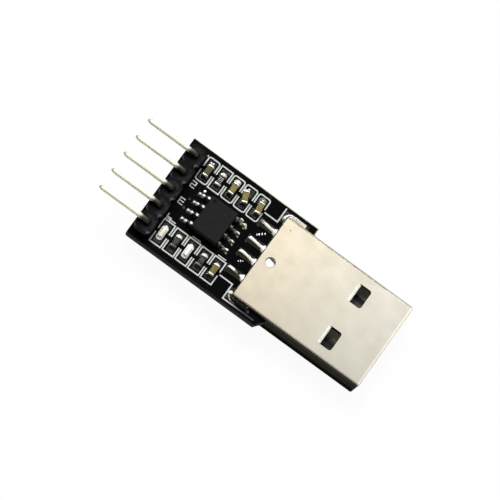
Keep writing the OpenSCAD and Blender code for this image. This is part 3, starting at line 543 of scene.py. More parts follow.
def pin_finish(colours):
    """Pale plating with drawn lines along the pin, with painted shade on the -Y side and painted light
    on the +Y side, duller at the cut tips, and dark olive painted shade round the bend."""
    side_shade, side_low, side_light = (0.80, 0.75, 0.56), (0.92, 0.88, 0.73), (0.97, 0.96, 0.90)
    tip_dull, bend_shade = (0.20, 0.185, 0.11), (0.022, 0.020, 0.011)
    b = Bench("pin_plate")
    x = b.axes()[0]
    ny = b.facing()[1]
    lines = b.noise(3.0, 3.0, 0.6, b.stretched((0.2, 5, 5)))
    # Painted shade and light by facing: darker towards -Y and paler towards +Y.
    low = (0.0 - ny).step(0.72, 0.88)
    side = (0.0 - ny).step(0.02, 0.25) * (1 - low)
    # Painted shade: dark olive round the bend.
    root = x.step(-13.95, -13.2)
    plate = b.spread(lines.step(0.3, 0.7), colours.pin, 0.92, 1.04)
    plate = b.layers(plate, (side, side_shade), (ny.step(0.15, 0.7), side_light), (low, side_low),
                     ((1 - x.step(-19.5, -19.0)) * 0.6, tip_dull), (root * 0.95, bend_shade))
    return b.finish(plate, 0.34 + lines * 0.10, 0.16 + root * 0.6, b.bump(lines, 0.002))


def solder_finish(colours, name, low=0.17, high=0.26, dull_and_shaded=0.12, metal=1.0):
    """Bright solder with frosted patches and a faint ripple; a low metal share frosts it all over."""
    b = Bench(name)
    frost = b.noise(1.4, 1.0, 0.5).step(0.45, 0.75)
    ripple = b.noise(2.5, 1.0)
    colour = b.blend(frost * dull_and_shaded, tuple(colours.solder), (0.55, 0.54, 0.50))
    return b.finish(colour, low + frost * (high - low), metal, b.bump(ripple, 0.003))


def flux_finish(name, colour, metal=0.35, shine=0.5, shade_fade=None):
    """Blotched satin solder skin in a given colour. Some callers dull it as by flux, some make it white
    as painted highlight, and some black as painted shade. It may turn black along the plug as painted
    shade.
    """
    b = Bench(name)
    blotch = b.noise(3.0, 3.0, 0.6).step(0.3, 0.7)
    skin = b.spread(blotch, colour, 0.7, 1.2)
    # Painted shade: the skin turns black along the plug.
    if shade_fade:
        skin = b.blend(b.axes()[0].step(*shade_fade), skin, (0.006, 0.006, 0.006))
    return b.finish(skin, 0.34 + blotch * 0.2, metal, b.bump(blotch, 0.01), Specular_IOR_Level=shine)


def bank_finish():
    """Solder over the contacts: a painted highlight along a band that swings from the +Y side to the
    middle and opens out at the shell, with painted shade beside it. The first band is faint at its
    nose, and the last one is broken before the shell."""
    shade_film, fresh_and_highlight = (0.033, 0.031, 0.025), (0.96, 0.95, 0.91)
    b = Bench("contact_solder")
    x, y = b.axes()[:2]
    ripple = b.noise(2.5, 1.0)
    half = 0.165 + x.step(0.35, 0.75) * 0.34 + (1 - x.step(-1.45, -0.9)) * 0.06
    faint = 0.25 + x.step(-1.4, -0.8) * 0.75
    broken = 1 - x.step(-0.7, -0.5) * (1 - x.step(0.2, 0.4)) * 0.85
    # Painted highlight along each band; the dark colour beside it is painted shade.
    highlight_band = 0.0
    for row, shift, share in zip(CONTACT_Y, (0.03, 0.03, 0.03, 0.15), (faint, 1.0, 1.0, broken)):
        off = abs(y - (row + shift) + x * 0.14 + (ripple - 0.5) * 0.1) / half
        highlight_band = highlight_band + (1 - off.step(0.75, 1.2)) * share
    skin = b.blend(highlight_band.math("MINIMUM", highlight_band, 1.0), shade_film, fresh_and_highlight)
    return b.finish(skin, 0.36, 0.12, b.bump(ripple, 0.003), Specular_IOR_Level=0.4)


def legend_finish(colours):
    """Printed ink, a little uneven. Painted shade darkens it nearly to the bare board beside the plug's
    -Y tab, and it is faint at the lines' ends beside the header."""
    bare = (0.018, 0.020, 0.026)
    b = Bench("legend_ink")
    x, y = b.axes()[:2]
    patch = b.noise(6.0, 3.0, 0.6)
    # Painted shade: the ink is darkened beside the plug's -Y tab.
    wear_and_shade = x.step(0.2, 3.2) * (1 - y.step(-6.45, -6.2)) * 0.985
    wear_and_shade = wear_and_shade + (1 - x.step(-11.3, -11.1)) * y.step(5.9, 6.1) * 0.75
    wear_and_shade = wear_and_shade + (1 - x.step(-11.15, -10.95)) * (1 - y.step(-3.2, -2.9)) * 0.6
    ink = b.blend(wear_and_shade, b.spread(patch.step(0.3, 0.65), colours.legend, 0.72, 1.1), bare)
    return b.finish(ink, 0.55 + patch * 0.2, normal=b.bump(b.noise(25.0), 0.004))


def moulded_finish(name, colour, gloss, grain):
    """Moulded plastic or ink with fine grain."""
    b = Bench(name)
    fine, cloud = b.noise(26.0, 3.0, 0.6), b.noise(1.3, 2.0)
    base = b.spread(cloud.step(0.3, 0.7) * 0.6 + fine * 0.4, colour, 0.75, 1.3)
    return b.finish(base, gloss + fine * 0.16 - cloud * 0.08, normal=b.bump(fine, grain))


def chip_finish(colours):
    """Matt moulded body, faintly mottled, darker in its dimple."""
    b = Bench("chip_epoxy")
    fine, cloud = b.noise(26.0, 3.0, 0.6), b.noise(1.3, 2.0)
    base = b.spread(cloud.step(0.3, 0.7) * 0.6 + fine * 0.4, colours.chip, 0.8, 1.25)
    dimple = b.spot((CHIP_MIDDLE[0] - 1.3, CHIP_MIDDLE[1] + 1.8, 5.36), 0.24, 0.08)
    return b.finish(b.blend(dimple * 0.85, base, (0.002, 0.002, 0.002)), 0.58 + fine * 0.12,
                    normal=b.bump(fine, 0.006), Specular_IOR_Level=0.1)


def shell_finish(colours):
    """Satin plated sheet: warm at the rear and neutral at the mouth, faintly mottled, with fine
    drawn lines along the plug, a stain, a tiny pit in the roof and a dark brown line along its +Y bend.
    The windows' rear lips and the mouth's cut rims are painted pale as highlight, the roof's turn down
    to the -Y side carries painted shade, and the -Y side is painted dark as shade, darkest at its foot
    and bends."""
    stain_brown, pit_brown, smear_brown = (0.44, 0.40, 0.32), (0.16, 0.13, 0.09), (0.45, 0.42, 0.36)
    lip_highlight, rim_highlight, bend_grey = (0.97, 0.95, 0.88), (0.90, 0.86, 0.74), (0.46, 0.45, 0.42)
    bend_line_brown, turn_shade, foot_shade = (0.16, 0.11, 0.06), (0.50, 0.46, 0.36), (0.045, 0.043, 0.039)
    b = Bench("shell_plate")
    x, y, z = b.axes()
    ny, nz = b.facing()[1:]
    mottle = b.noise(0.45, 3.0, 0.55).step(0.25, 0.75)
    stain = b.noise(2.6, 4.0, 0.65).step(0.35, 0.75)
    drawn = b.noise(3.0, 4.0, 0.65, b.stretched((0.12, 6.0, 6.0)))
    grain = b.noise(6.0, 3.0, 0.7)
    cloudy = mottle * 0.07 + stain * 0.07 + (grain.step(0.35, 0.65) + drawn.step(0.35, 0.65)) * 0.10
    pit = b.spot((2.1, 4.75, ROOF_TOP), 0.10, 0.05)
    smear = b.spot((13.6, 5.45, ROOF_TOP), 0.35, 0.3) * b.noise(5.0, 3.0).step(0.45, 0.6)
    # Painted highlight: the windows' rear lips are white and matt.
    lit_lip = (1 - abs(x - 12.72).step(0.16, 0.30)) * (1 - abs(abs(y - 0.05) - 3.2).step(1.15, 1.32))
    lit_lip = lit_lip * z.step(3.0, 3.4)
    # Painted highlight: the mouth's cut rims are made pale.
    rim = x.step(19.22, 19.36) * z.step(4.2, 4.4)
    bend_line = (1 - abs(y - 5.84).step(0.03, 0.08)) * (1 - x.step(15.0, 17.0))
    bend_line = bend_line * (0.25 + b.noise(5.0, 2.0).step(0.4, 0.6) * 0.75)
    # Painted shade where the roof turns down to the -Y side.
    turn = (0.0 - ny).step(0.06, 0.22) * z.step(3.9, 4.1) * (1 - lit_lip)
    plate = b.blend(x.step(0.0, 17.0), tuple(colours.shell_rear), tuple(colours.shell_front))
    plate = b.layers(plate, (cloudy, stain_brown), (pit * 0.75, pit_brown), (smear * 0.25, smear_brown),
                     (lit_lip, lip_highlight), (rim * 0.6, rim_highlight), (y.step(5.86, 5.96) * 0.6, bend_grey),
                     (bend_line * 0.8, bend_line_brown), (turn * 0.5, turn_shade))
    level = drawn * 0.5 + grain * 0.6 + b.noise(0.35, 1.0) * 1.5 - pit * 2.0
    crown = (y - 0.05) ** 2.0 * -0.0055 + (x - 10.0) ** 2.0 * -0.0006
    rough = 0.20 + nz.step(0.3, 0.8) * 0.34 + (drawn + grain + mottle) * 0.05
    metal = 1 - lit_lip - (1 - lit_lip) * (rim * 0.5 + turn * 0.45)
    b.finish(plate, rough, metal, b.bump(level, 0.0035, b.bump(crown, 1.0)))
    # Painted shade: the -Y side is a dark copy of the plating, darkest at its foot and bends, and its
    # low specular tint dims the grazing reflection.
    wall_shade = b.blend((0.0 - ny).step(0.95, 0.995) * z.step(0.8, 2.6), foot_shade,
                   b.spread(drawn * 0.6 + stain * 0.4, colours.shell_wall_shade, 0.8, 1.1))
    down = (0.0 - ny).step(0.50, 0.66)
    side = down.math("MAXIMUM", down, 1 - y.step(-6.10, -6.03))
    return b.over(side, Base_Color=wall_shade, Metallic=1.0, Roughness=0.16 + drawn * 0.08,
                  Normal=b.bump(drawn, 0.002), Specular_Tint=(0.236, 0.236, 0.234))


def ceramic_finish(name, colour):
    """Fired ceramic with fine speckle, a little deeper in the -Y row."""
    b = Bench(name)
    speck, cloud = b.noise(22.0, 3.0, 0.65), b.noise(2.4, 2.0)
    fired = b.spread(speck.step(0.3, 0.7) * 0.5 + cloud.step(0.3, 0.7) * 0.5, colour, 0.65, 1.35)
    deeper = 1 - b.axes()[1].step(-1.0, 1.0)
    return b.finish(b.blend(deeper * 0.22, fired, (0.002, 0.002, 0.002)), 0.36 + speck * 0.2,
                    normal=b.bump(speck, 0.006), Specular_IOR_Level=0.25)


def resistor_tin():
    """Tinned ends of the resistors, with painted shade on the side that faces away from the chip in the
    lower row.
    """
    b = Bench("resistor_tin")
    # Painted shade on the lower row's -Y ends.
    lines, dull_and_shaded = b.noise(3.0, 3.0, 0.6), 1 - b.axes()[1].step(-5.15, -5.05)
    tin = b.blend(dull_and_shaded, b.spread(lines, (0.62, 0.60, 0.51), 0.75, 1.04), (0.13, 0.125, 0.10))
    return b.finish(tin, 0.24 + lines * 0.1, 1.0, b.bump(lines, 0.003))


def coat_finish():
    """Black coat on the resistors, a little wavy and dusty."""
    b = Bench("resistor_coat")
    dust = b.noise(8.0, 3.0, 0.6)
    return b.finish(b.spread(dust, (0.0085, 0.008, 0.0075), 0.7, 1.6), 0.32 + dust * 0.2,
                    normal=b.bump(b.noise(3.0), 0.006), Specular_IOR_Level=0.2)


def lens_finish(colours):
    """Milky resin, creamier in the first lamp; the crystal shows faintly in the middle of each."""
    cream, crystal = (0.86, 0.82, 0.66), (0.62, 0.57, 0.35)
    b = Bench("lamp_lens")
    milk = b.noise(3.0, 2.0)
    resin = b.blend(b.axes()[0].step(-9.0, -8.0), cream, b.spread(milk, colours.lens, 0.97, 1.06))
    for x, y, _ in LAMPS:
        resin = b.blend(b.spot((x, y, 4.40), 0.15, 0.05) * 0.35, resin, crystal)
    return b.finish(resin, 0.22 + milk * 0.12, normal=b.bump(b.noise(12.0), 0.004), Coat_Weight=0.3)


def insulator_finish(colours):
    """Moulded plastic, white in the rear block and painted dark as shade in the tongue, with two pale
    patches painted as light on the tongue where it lies in shade under the windows."""
    patch = (0.97, 0.94, 0.83)
    b = Bench("plug_insulator")
    x, y = b.axes()[:2]
    fine = b.noise(20.0, 3.0, 0.6)
    # Painted light: pale patches on the tongue where it lies in shade under the windows.
    pale = y.step(-2.85, -2.0) * (1 - y.step(-1.2, -0.8)) + y.step(3.7, 4.3)
    pale = pale * x.step(12.3, 12.8) * (1 - x.step(14.6, 15.1))
    tongue = b.blend(pale, b.spread(fine, colours.tongue, 0.8, 1.3), patch)
    block = b.spread(fine, colours.insulator, 0.9, 1.08)
    return b.finish(b.blend(x.step(3.4, 3.6), block, tongue), 0.45 + fine * 0.12,
                    normal=b.bump(fine, 0.004))


def contact_finish(colours):
    """Gold plating with rub marks along the plug, darkened at the soldered tails, with painted shade
    mid-way and a grey painted highlight on the outer edge there."""
    tail_dark, middle_shade = (0.022, 0.020, 0.012), (0.011, 0.011, 0.0095)
    edge_highlight = (0.40, 0.39, 0.35)
    b = Bench("contact_gold")
    x, y = b.axes()[:2]
    rub = b.noise(2.0, 3.0, 0.6, b.stretched((0.2, 8.0, 8.0)))
    # Painted shade mid-way under the windows and a painted highlight along the outer edge there.
    middle = x.step(11.5, 12.5) * (1 - x.step(14.8, 15.8))
    edge = middle * y.step(3.60, 3.90)
    gold = b.spread(rub.step(0.3, 0.7), colours.contact, 0.8, 1.1)
    gold = b.layers(gold, (1 - x.step(1.0, 1.6), tail_dark), (middle, middle_shade), (edge, edge_highlight))
    return b.finish(gold, 0.30 + rub * 0.08, 1.0 - middle * 0.5 - edge * 0.5, b.bump(rub, 0.001))


def floor_finish():
    """Pale matt floor. Most of what the camera, gloss and glass see of it is plain white, so that
    the object's shadow stays and is faint."""
    b = Bench("studio_floor")
    tone = b.noise(0.01, 1.0)
    b.finish(b.blend(tone, (0.955, 0.955, 0.955), (0.975, 0.975, 0.975)), 0.95, Specular_IOR_Level=0.1)
    rays = [b.add("ShaderNodeLightPath", {}, out=f"Is {ray} Ray")
            for ray in ("Camera", "Glossy", "Transmission")]
    seen = sum(rays, 0.0)
    white = b.add("ShaderNodeEmission", {}, (1, 1, 1), 1.0)
    lit = Wire(b, b.shader.outputs[0])
    mixed = b.add("ShaderNodeMixShader", {}, seen.math("MINIMUM", seen, 1.0) * 0.95, lit, white)
    b.feed(b.tree.nodes["Material Output"].inputs["Surface"], mixed)
    return b.block


def palette():
    """The scene's colours for the finishes."""
    return bpy.context.scene.adapter_colours


def sizes():
    """The scene's sizes of what is added."""
    return bpy.context.scene.adapter_sizes


# Operators, one for each piece or group of like pieces

class ADAPTER_OT_board(bpy.types.Operator):
    """Circuit board, its pads and its printed legend"""
    bl_idname = "adapter.board"
    bl_label = "Circuit board"

    def execute(self, context):
        dress(mask_finish(palette()), "circuit_board")
        dress(metal_finish("pad_tin", (0.30, 0.30, 0.27), 0.08, 0.24, 4.0, 0.003, 0.6), "board_pads")
        dress(legend_finish(palette()), "board_legend")
        return {"FINISHED"}


class ADAPTER_OT_header(bpy.types.Operator):
    """Moulded strip, five bent pins and the solder round their tails"""
    bl_idname = "adapter.header"
    bl_label = "Pin header"

    def execute(self, context):
        rounded_copy("header_strip", strip_finish(palette()), sizes().edge, "header_plastic")
        plate = pin_finish(palette())
        tail = [(PIN_X, z) for z in (1.0, 1.03, 1.5, 3.8)]
        bend = arc((PIN_X - PIN_BEND, PIN_Z - PIN_BEND), PIN_BEND, 0, 90)
        reach = [(x, PIN_Z) for x in (-13.5, -16.0, -18.95, -19.2, -19.57, -19.6)]
        path = np.concatenate([tail, bend, reach])
        scale = np.ones(len(path))
        scale[[0, 1, 2, -3, -2, -1]] = 0.3, 0.38, 0.96, 0.9, 0.4, 0.32
        for i, y in enumerate(PIN_Y, 1):
            pin = bar(path, (PIN_WIDTH, PIN_WIDTH), 3.4, scale) + np.array([0, y, 0])
            piece(f"header_pin_{i}_bar", [pin], plate, [f"header_pin_{i}"], "pin_metal", 60)
        radii = (0.34, 0.36, 0.40, 0.50, 0.66, 0.80)
        heights = (1.47, 1.60, 1.78, 1.96, 2.09, 2.16)
        cones = [collar((PIN_X, y), radii, heights) for y in PIN_Y]
        plugs = [collar((PIN_X, y), (0.5, 0.5), (2.16, 3.79)) for y in PIN_Y]
        piece("header_joints", cones + plugs, solder_finish(palette(), "header_joint"),
              ["header_solder"], "solder", 60)
        return {"FINISHED"}


class ADAPTER_OT_plug(bpy.types.Operator):
    """Plug: folded shell, insulator and four contacts"""
    bl_idname = "adapter.plug"
    bl_label = "Plug"

    def execute(self, context):
        dress(shell_finish(palette()), "plug_shell")
        dress(insulator_finish(palette()), "plug_insulator")
        dress(contact_finish(palette()), *[f"plug_contact_{i}" for i in range(1, 5)])
        return {"FINISHED"}


class ADAPTER_OT_contact_solder(bpy.types.Operator):
    """Four long banks of solder over the plug's contact tails"""
    bl_idname = "adapter.contact_solder"
    bl_label = "Solder on the contacts"

    def execute(self, context):
        x = np.concatenate([np.linspace(-1.57, -1.2, 8), np.linspace(-1.1, 0.84, 22)])
        nose = np.sqrt(np.clip(1 - ((-1.2 - x) / 0.37).clip(0) ** 2, 0.02, 1))
        flare = ((x - 0.3) / 0.5).clip(0, 1) ** 1.5
        first, last = 0, len(CONTACT_Y) - 1
        banks = []
        for k, y in enumerate(CONTACT_Y):
            wave = 0.02 * np.sin(3.1 * x + 1.7 * k)
            path = np.stack([x, y + 0.015 * np.sin(2.3 * x + k)], -1)
            half = (0.52 + wave * 0.5 + 0.05 * flare) * nose
            height = (sizes().tail_mound + wave + 0.12 * flare) * nose ** 0.7
            if k == last:
                dip = 1 - 0.45 * np.exp(-((x - 0.05) / 0.25) ** 2)
                half, height = half * (0.7 + 0.3 * dip), height * dip
            crest = 0.38 - 0.24 * (x + 1.57) + (0.15 if k == first else 0)
            banks.append(ridge(path, half, height, PAD_TOP, 3.4, 0.6,
                               fall=0.22 - 0.1 * flare, slope=0.95 - 0.75 * flare, crest=crest))
        solder_piece("contact_banks", banks, bank_finish(), "plug_contact_solder")
        return {"FINISHED"}


class ADAPTER_OT_tab_solder(bpy.types.Operator):
    """Solder rims and skins at the shell's two tabs, and a drop at each of its rear corners"""
    bl_idname = "adapter.tab_solder"
    bl_label = "Solder on the tabs"

    def execute(self, context):
        s = np.linspace(0, 1, 44)
        ends = np.clip(np.minimum(s, 1 - s) * 9, 0.05, 1) ** 0.6
        left = ridge(smooth_path(LEFT_RIM, 44), (0.17 - 0.06 * s) * ends + 0.03,
                     (0.42 - 0.10 * s) * ends, PAD_TOP, 2.5, 0.6)
        right = ridge(smooth_path(RIGHT_RIM, 44), (0.10 - 0.05 * s) * ends + 0.02,
                      (0.28 - 0.18 * s) * ends, BOARD_TOP, 2.0, 0.7)
        x = np.linspace(0.95, 3.42, 30)
        film = (1 - np.abs((x - 2.18) / 1.27) ** 6).clip(0.02, 1) ** 0.5
        far = (x - 2.4).clip(0)
        skins = []
        for y, half in ((6.22, 0.20), (-6.17, 0.28)):
            line = np.stack([x, y - math.copysign(0.24, y) * far ** 1.5], -1)
            skins.append(ridge(line, half * film * (1 - 0.5 * far.clip(0, 1)), 0.335 * film,
                               PAD_TOP, 6.0, 0.4))
        corner = turned(mound(0.22, 0.36, 0.45), (0.72, 5.72), 20)
        facet = turned(mound(0.34, 0.23, 0.36, BOARD_TOP, 6.0, 0.4), (0.60, -5.72), 34)
        # Painted highlight: the -Y corner's facet is matt cream-white. Painted shade: the -Y rim turns
        # black along the plug, and the -Y skin is black.
        cream = flux_finish("tab_facet", (0.98, 0.95, 0.84), 0.0)
        fresh_and_highlight = solder_finish(palette(), "tab_solder", 0.30, 0.36, 0.2, metal=0.25)
        dull_and_shaded = flux_finish("tab_rim_shaded", (0.80, 0.77, 0.62), 0.1, shade_fade=(0.9, 2.0))
        pale = flux_finish("tab_skin_pale", (0.46, 0.45, 0.40), 0.2)
        dark = flux_finish("tab_skin_shaded", (0.006, 0.006, 0.006), 0.0, 0.1)
        for name, shapes, finish in (("facet", [facet], cream), ("rims", [left, corner], fresh_and_highlight),
                                     ("rim_right", [right], dull_and_shaded), ("skin_left", skins[:1], pale),
                                     ("skin_right", skins[1:], dark)):
            solder_piece(f"tab_{name}", shapes, finish, "plug_tab_solder")
        return {"FINISHED"}


class ADAPTER_OT_chip(bpy.types.Operator):
    """Eight-lead chip: moulded body with its dimple, and bent leads"""
    bl_idname = "adapter.chip"
    bl_label = "Chip"

    def execute(self, context):
        rounded_copy("chip_body", chip_finish(palette()), 0.05, "chip_plastic")
        grey = metal_finish("lead_tin", (0.16, 0.155, 0.135), 0.30, 0.40, 3.0, 0.002, 0.7)
        shoulder, knee = arc((2.16, 4.51), 0.15, 90, 25, 6), arc((2.65, 4.08), 0.14, 205, 270, 6)
        path = np.concatenate([[(1.65, 4.66), (2.05, 4.66)], shoulder, [(2.42, 4.2)], knee,
                               [(2.8, 3.94), (2.99, 3.94)]])
        for i in range(8):
            side, row = (-1, LEAD_ROWS[i]) if i < 4 else (1, LEAD_ROWS[7 - i])
            lead = bar(path, (0.42, 0.2), 4.0) * (side, 1, 1)
            piece(f"chip_lead_{i + 1}_bar", [lead + (CHIP_MIDDLE[0], CHIP_MIDDLE[1] + row, 0)], grey,
                  [f"chip_lead_{i + 1}"], "lead_metal", 60)
        return {"FINISHED"}


class ADAPTER_OT_chip_solder(bpy.types.Operator):
    """Drops, streaks and thin films of solder at the eight feet of the chip"""
    bl_idname = "adapter.chip_solder"
    bl_label = "Solder on the chip"

    def execute(self, context):
        # On the right side, the cream drops are painted highlight and the olive drops painted shade.
        white = solder_finish(palette(), "chip_solder_left", 0.30, 0.36, 0.05, metal=0.1)
        cream = metal_finish("chip_solder_right_highlight", (0.98, 0.96, 0.88), 0.26, 0.34, 2.5, 0.002, 0.9, 0.0)
        dull_and_shaded = metal_finish("chip_solder_shaded", (0.27, 0.25, 0.15), 0.24, 0.34, 3.0, 0.004, 0.6, 0.4)
        middle_x, middle_y = CHIP_MIDDLE
        for name, side, drops, finish in (("left", -1, LEFT_DROPS, white),
                                          ("right", 1, RIGHT_DROPS, cream),
                                          ("dull_and_shaded", 1, SHADED_DROPS, dull_and_shaded)):
            shapes = []
            for k, row in enumerate(LEAD_ROWS):
                for n, (along, across, rx, ry, height, base) in enumerate(drops):
                    wave = math.sin(5 * k + 3 * n)
                    at = (middle_x + side * (along + 0.02 * wave),
                          middle_y + row + across + 0.015 * wave)
                    drop = mound(rx * (1 + 0.06 * wave), ry, height, base, 3.4, 0.55,
                                 climb=(-0.2 * side, -0.1))
                    shapes.append(turned(drop, at, 12 * wave))
            solder_piece(f"chip_drops_{name}", shapes, finish, "chip_solder")
        extra = mound(0.19, 0.19, 0.17, BOARD_TOP, 4.0, 0.55, climb=(0.2, -0.1)) + (-9.02, 2.58, 0)
        near = turned(mound(0.28, 0.14, 0.26, PAD_TOP, 4.0, 0.55, climb=(-0.2, 0.1)), (-3.40, 2.42), -8)
        far = turned(mound(0.42, 0.15, 0.24, PAD_TOP, 4.0, 0.55, climb=(-0.1, 0.0)), (-2.58, 2.02), -57)
        films = [mound(0.50, 0.25, 0.07) + (middle_x + side * 2.96, middle_y + row, 0)
                 for side in (-1, 1) for row in LEAD_ROWS]
        for name, shapes, finish in (
                ("extra", [extra], white), ("streaks", [near], cream),
                ("streak_far", [far], flux_finish("chip_streak_olive", (0.60, 0.56, 0.38), 0.2)),
                ("films", films, flux_finish("chip_flux", (0.05, 0.048, 0.042)))):
            solder_piece(f"chip_{name}", shapes, finish, "chip_solder")
        return {"FINISHED"}


def capped_part(kind, number, middle, height, body, cap, body_slot, cap_radius):
    """Body and two wrapped metal caps of a small part, on its pads."""
    side, end = PART_SIZE[0] / 2, PART_SIZE[1] / 2
    lift = np.array([0, 0, PAD_TOP])
    core = rounded_block((0.035 - side, 0.06 - end, 0.03),
                         (side - 0.035, end - 0.06, height - 0.035), 0.05)
    ends = [rounded_block((-side, low, 0), (side, low + CAP_LENGTH, height), cap_radius)
            for low in (end - CAP_LENGTH, -end)]
    for name, blocks, finish, node, slot in (("core", [core], body, "body", body_slot),
                                             ("ends", ends, cap, "caps", "cap_metal")):
        shapes = [turned(block + lift, middle, middle[2]) for block in blocks]
        even_faces(piece(f"{kind}_{number}_{name}", shapes, finish, [f"{kind}_{number}_{node}"], slot))


class ADAPTER_OT_capacitors(bpy.types.Operator):
    """Five capacitors with wrapped metal ends, the first one grey"""
    bl_idname = "adapter.capacitors"
    bl_label = "Capacitors"

    def execute(self, context):
        grey = ceramic_finish("capacitor_grey", tuple(palette().grey))
        tan = ceramic_finish("capacitor_tan", tuple(palette().tan))
        tin = metal_finish("cap_tin", (0.80, 0.77, 0.64), 0.28, 0.40, 3.0, 0.003, 0.8)
        for n, middle in enumerate(CAPACITORS, 1):
            body, slot = (grey, "capacitor_grey") if n == 1 else (tan, "capacitor_tan")
            capped_part("capacitor", n, middle, CAPACITOR_HEIGHT, body, tin, slot, sizes().cap_round)
        return {"FINISHED"}


# Strokes of the plain numbers, as (x, y) ends on a field 1 wide and 2 high
STROKES = {"1": [((0.6, 0), (0.6, 2))],
           "0": [((0, 0), (0, 2)), ((1, 0), (1, 2)), ((0, 0), (1, 0)), ((0, 2), (1, 2))]}


def number_strokes(text, middle, top):
    """Thin bars of ink for a plain number that reads along a small part."""
    size, thick = np.array([0.17, 0.25]), 0.025
    bars = []
    for k, digit in enumerate(text):
        corner = (k * 0.29 - 0.375, -0.25)
        for start, end in STROKES[digit]:
            low = np.minimum(start, end) * size + corner - thick
            high = np.maximum(start, end) * size + corner + thick
            stroke = rounded_block((*low, top - 0.004), (*high, top + 0.010), 0.005, 2)
            bars.append(turned(turned(stroke, (0, 0), -90), middle, 0))
    return bars


class ADAPTER_OT_resistors(bpy.types.Operator):
    """Three resistors: white ceramic, black coat with a plain number, metal ends"""
    bl_idname = "adapter.resistors"
    bl_label = "Resistors"

    def execute(self, context):
        white = ceramic_finish("resistor_ceramic", (0.72, 0.72, 0.69))
        tin = resistor_tin()
        black = coat_finish()
        ink = moulded_finish("resistor_ink", (0.80, 0.81, 0.78), 0.5, 0.003)
        faint = moulded_finish("resistor_ink_faint", (0.16, 0.15, 0.115), 0.5, 0.003)
        side, end = PART_SIZE[0] / 2 - 0.03, PART_SIZE[1] / 2 - CAP_LENGTH + 0.03
        top = PAD_TOP + RESISTOR_HEIGHT
        for n, middle in enumerate(RESISTORS, 1):
            capped_part("resistor", n, middle, RESISTOR_HEIGHT, white, tin, "resistor_ceramic", 0.07)
            coat = rounded_block((-side, -end, top - 0.06), (side, end, top - 0.008), 0.02)
            even_faces(piece(f"resistor_{n}_film", [turned(coat, middle, middle[2])], black,
                             [f"resistor_{n}_coat"], "resistor_coat"))
            piece(f"resistor_{n}_number", number_strokes("101", middle, top - 0.006),
                  ink if n == 1 else faint, (), "legend_ink")
        return {"FINISHED"}


class ADAPTER_OT_lamps(bpy.types.Operator):
    """Two lamps: pale notched base, plated ends and milky lens"""
    bl_idname = "adapter.lamps"
    bl_label = "Lamps"

    def execute(self, context):
        base = moulded_finish("lamp_base", (0.92, 0.90, 0.80), 0.5, 0.004)
        plating = metal_finish("lamp_plating", (0.93, 0.91, 0.82), 0.5, 0.6, 5.0, 0.003, 0.95, 0.0)
        milk = lens_finish(palette())
        foot, top = PAD_TOP + LAMP_BASE_HEIGHT, PAD_TOP + 0.6
        for n, middle in enumerate(LAMPS, 1):
            dress(base, f"lamp_{n}_base")
            dress(plating, f"lamp_{n}_caps")
            lens = rounded_block((-0.35, -0.72, foot), (0.35, 0.60, top), 0.06, taper=0.13)
            even_faces(piece(f"lamp_{n}_dome", [turned(lens, middle, middle[2])], milk,
                             [f"lamp_{n}_lens"], "lamp_lens"))
        return {"FINISHED"}


class ADAPTER_OT_part_solder(bpy.types.Operator):
    """Solder at the ends of the small parts, with blobs and specks left by hand"""
    bl_idname = "adapter.part_solder"
    bl_label = "Solder on the small parts"

    def execute(self, context):
        end = PART_SIZE[1] / 2
        parts = [(*middle, CAPACITOR_HEIGHT) for middle in CAPACITORS]
        parts += [(*middle, RESISTOR_HEIGHT) for middle in RESISTORS]
        drops, films, lamp_ends = [], [], []
        for k, (x, y, turn, height) in enumerate(parts):
            for side, group in ((-1, films), (1, drops)):
                if side == 1 and k in BLOBBED:
                    continue
                rise = min(height * 0.8, sizes().end_mound) * (1 + 0.12 * math.sin(5 * k + side))
                drop = mound(0.37, 0.27, rise * 0.8, power=3.0, slump=0.7, climb=(0.1, -0.3 * side))
                group.append(turned(drop + (0, side * (end + 0.02), 0), (x, y), turn))
        for x, y, turn in LAMPS:
            for side in (-1, 1):
                flat = mound(0.33, 0.26 + 0.04 * side, 0.24, power=6.0, slump=0.4)
                lamp_ends.append(turned(flat + (0, side * (end - 0.02), 0), (x, y), turn))
        drops.append(mound(0.46, 0.38, 0.60, power=3.0, slump=0.5, climb=(0.12, -0.12))
                     + (-6.43, 5.80, 0))
        drops += [turned(mound(r, r * 0.8, h, power=4.0, slump=0.5, climb=(0.2, -0.1)), at, 30)
                  for r, h, at in END_DROPS]
        blob = mound(0.50, 0.46, 0.80, power=2.6, slump=0.5, climb=(0.10, -0.10))
        moons = [mound(0.31, 0.17, 0.50, power=3.4, slump=0.55) + (x, y + end - 0.16, 0)
                 for x, y, _ in RESISTORS]
        fresh_and_highlight = solder_finish(palette(), "part_solder", 0.30, 0.38, 0.1, metal=0.4)
        grey = metal_finish("part_blob_grey", (0.27, 0.275, 0.275), 0.26, 0.36, 2.5, 0.004, 0.5, 0.6)
        # Painted highlight: the resistors' moons and the lamps' ends are matt white. Painted shade: the
        # films at the parts' -Y ends are near black.
        white = flux_finish("part_moon_highlight", (0.98, 0.97, 0.92), 0.0)
        cream = flux_finish("part_lamp_highlight", (0.98, 0.95, 0.80), 0.0)
        shade_film = flux_finish("part_solder_shaded", (0.022, 0.021, 0.018), 0.2, 0.3)
        for name, shapes, finish in (("moons", moons, white), ("drops", drops, fresh_and_highlight),
                                     ("blob", [blob + (-2.68, 5.74, 0)], grey),
                                     ("lamp_ends", lamp_ends, cream), ("films", films, shade_film)):
            solder_piece(f"part_{name}", shapes, finish, "part_solder")
        specks = []
        for x, y, r in SPECKS:
            speck = mound(r * 0.8, r * 1.35, r * 0.8, BOARD_TOP - 0.01, 4.0, 0.55, (0.16, -0.15), 6, 14)
            specks.append(turned(speck, (x, y), 43))
        pale = solder_finish(palette(), "speck_solder", 0.40, 0.45, 0.0, metal=0.3)
        piece("solder_specks", specks, pale, (), "solder", 80)
        return {"FINISHED"}


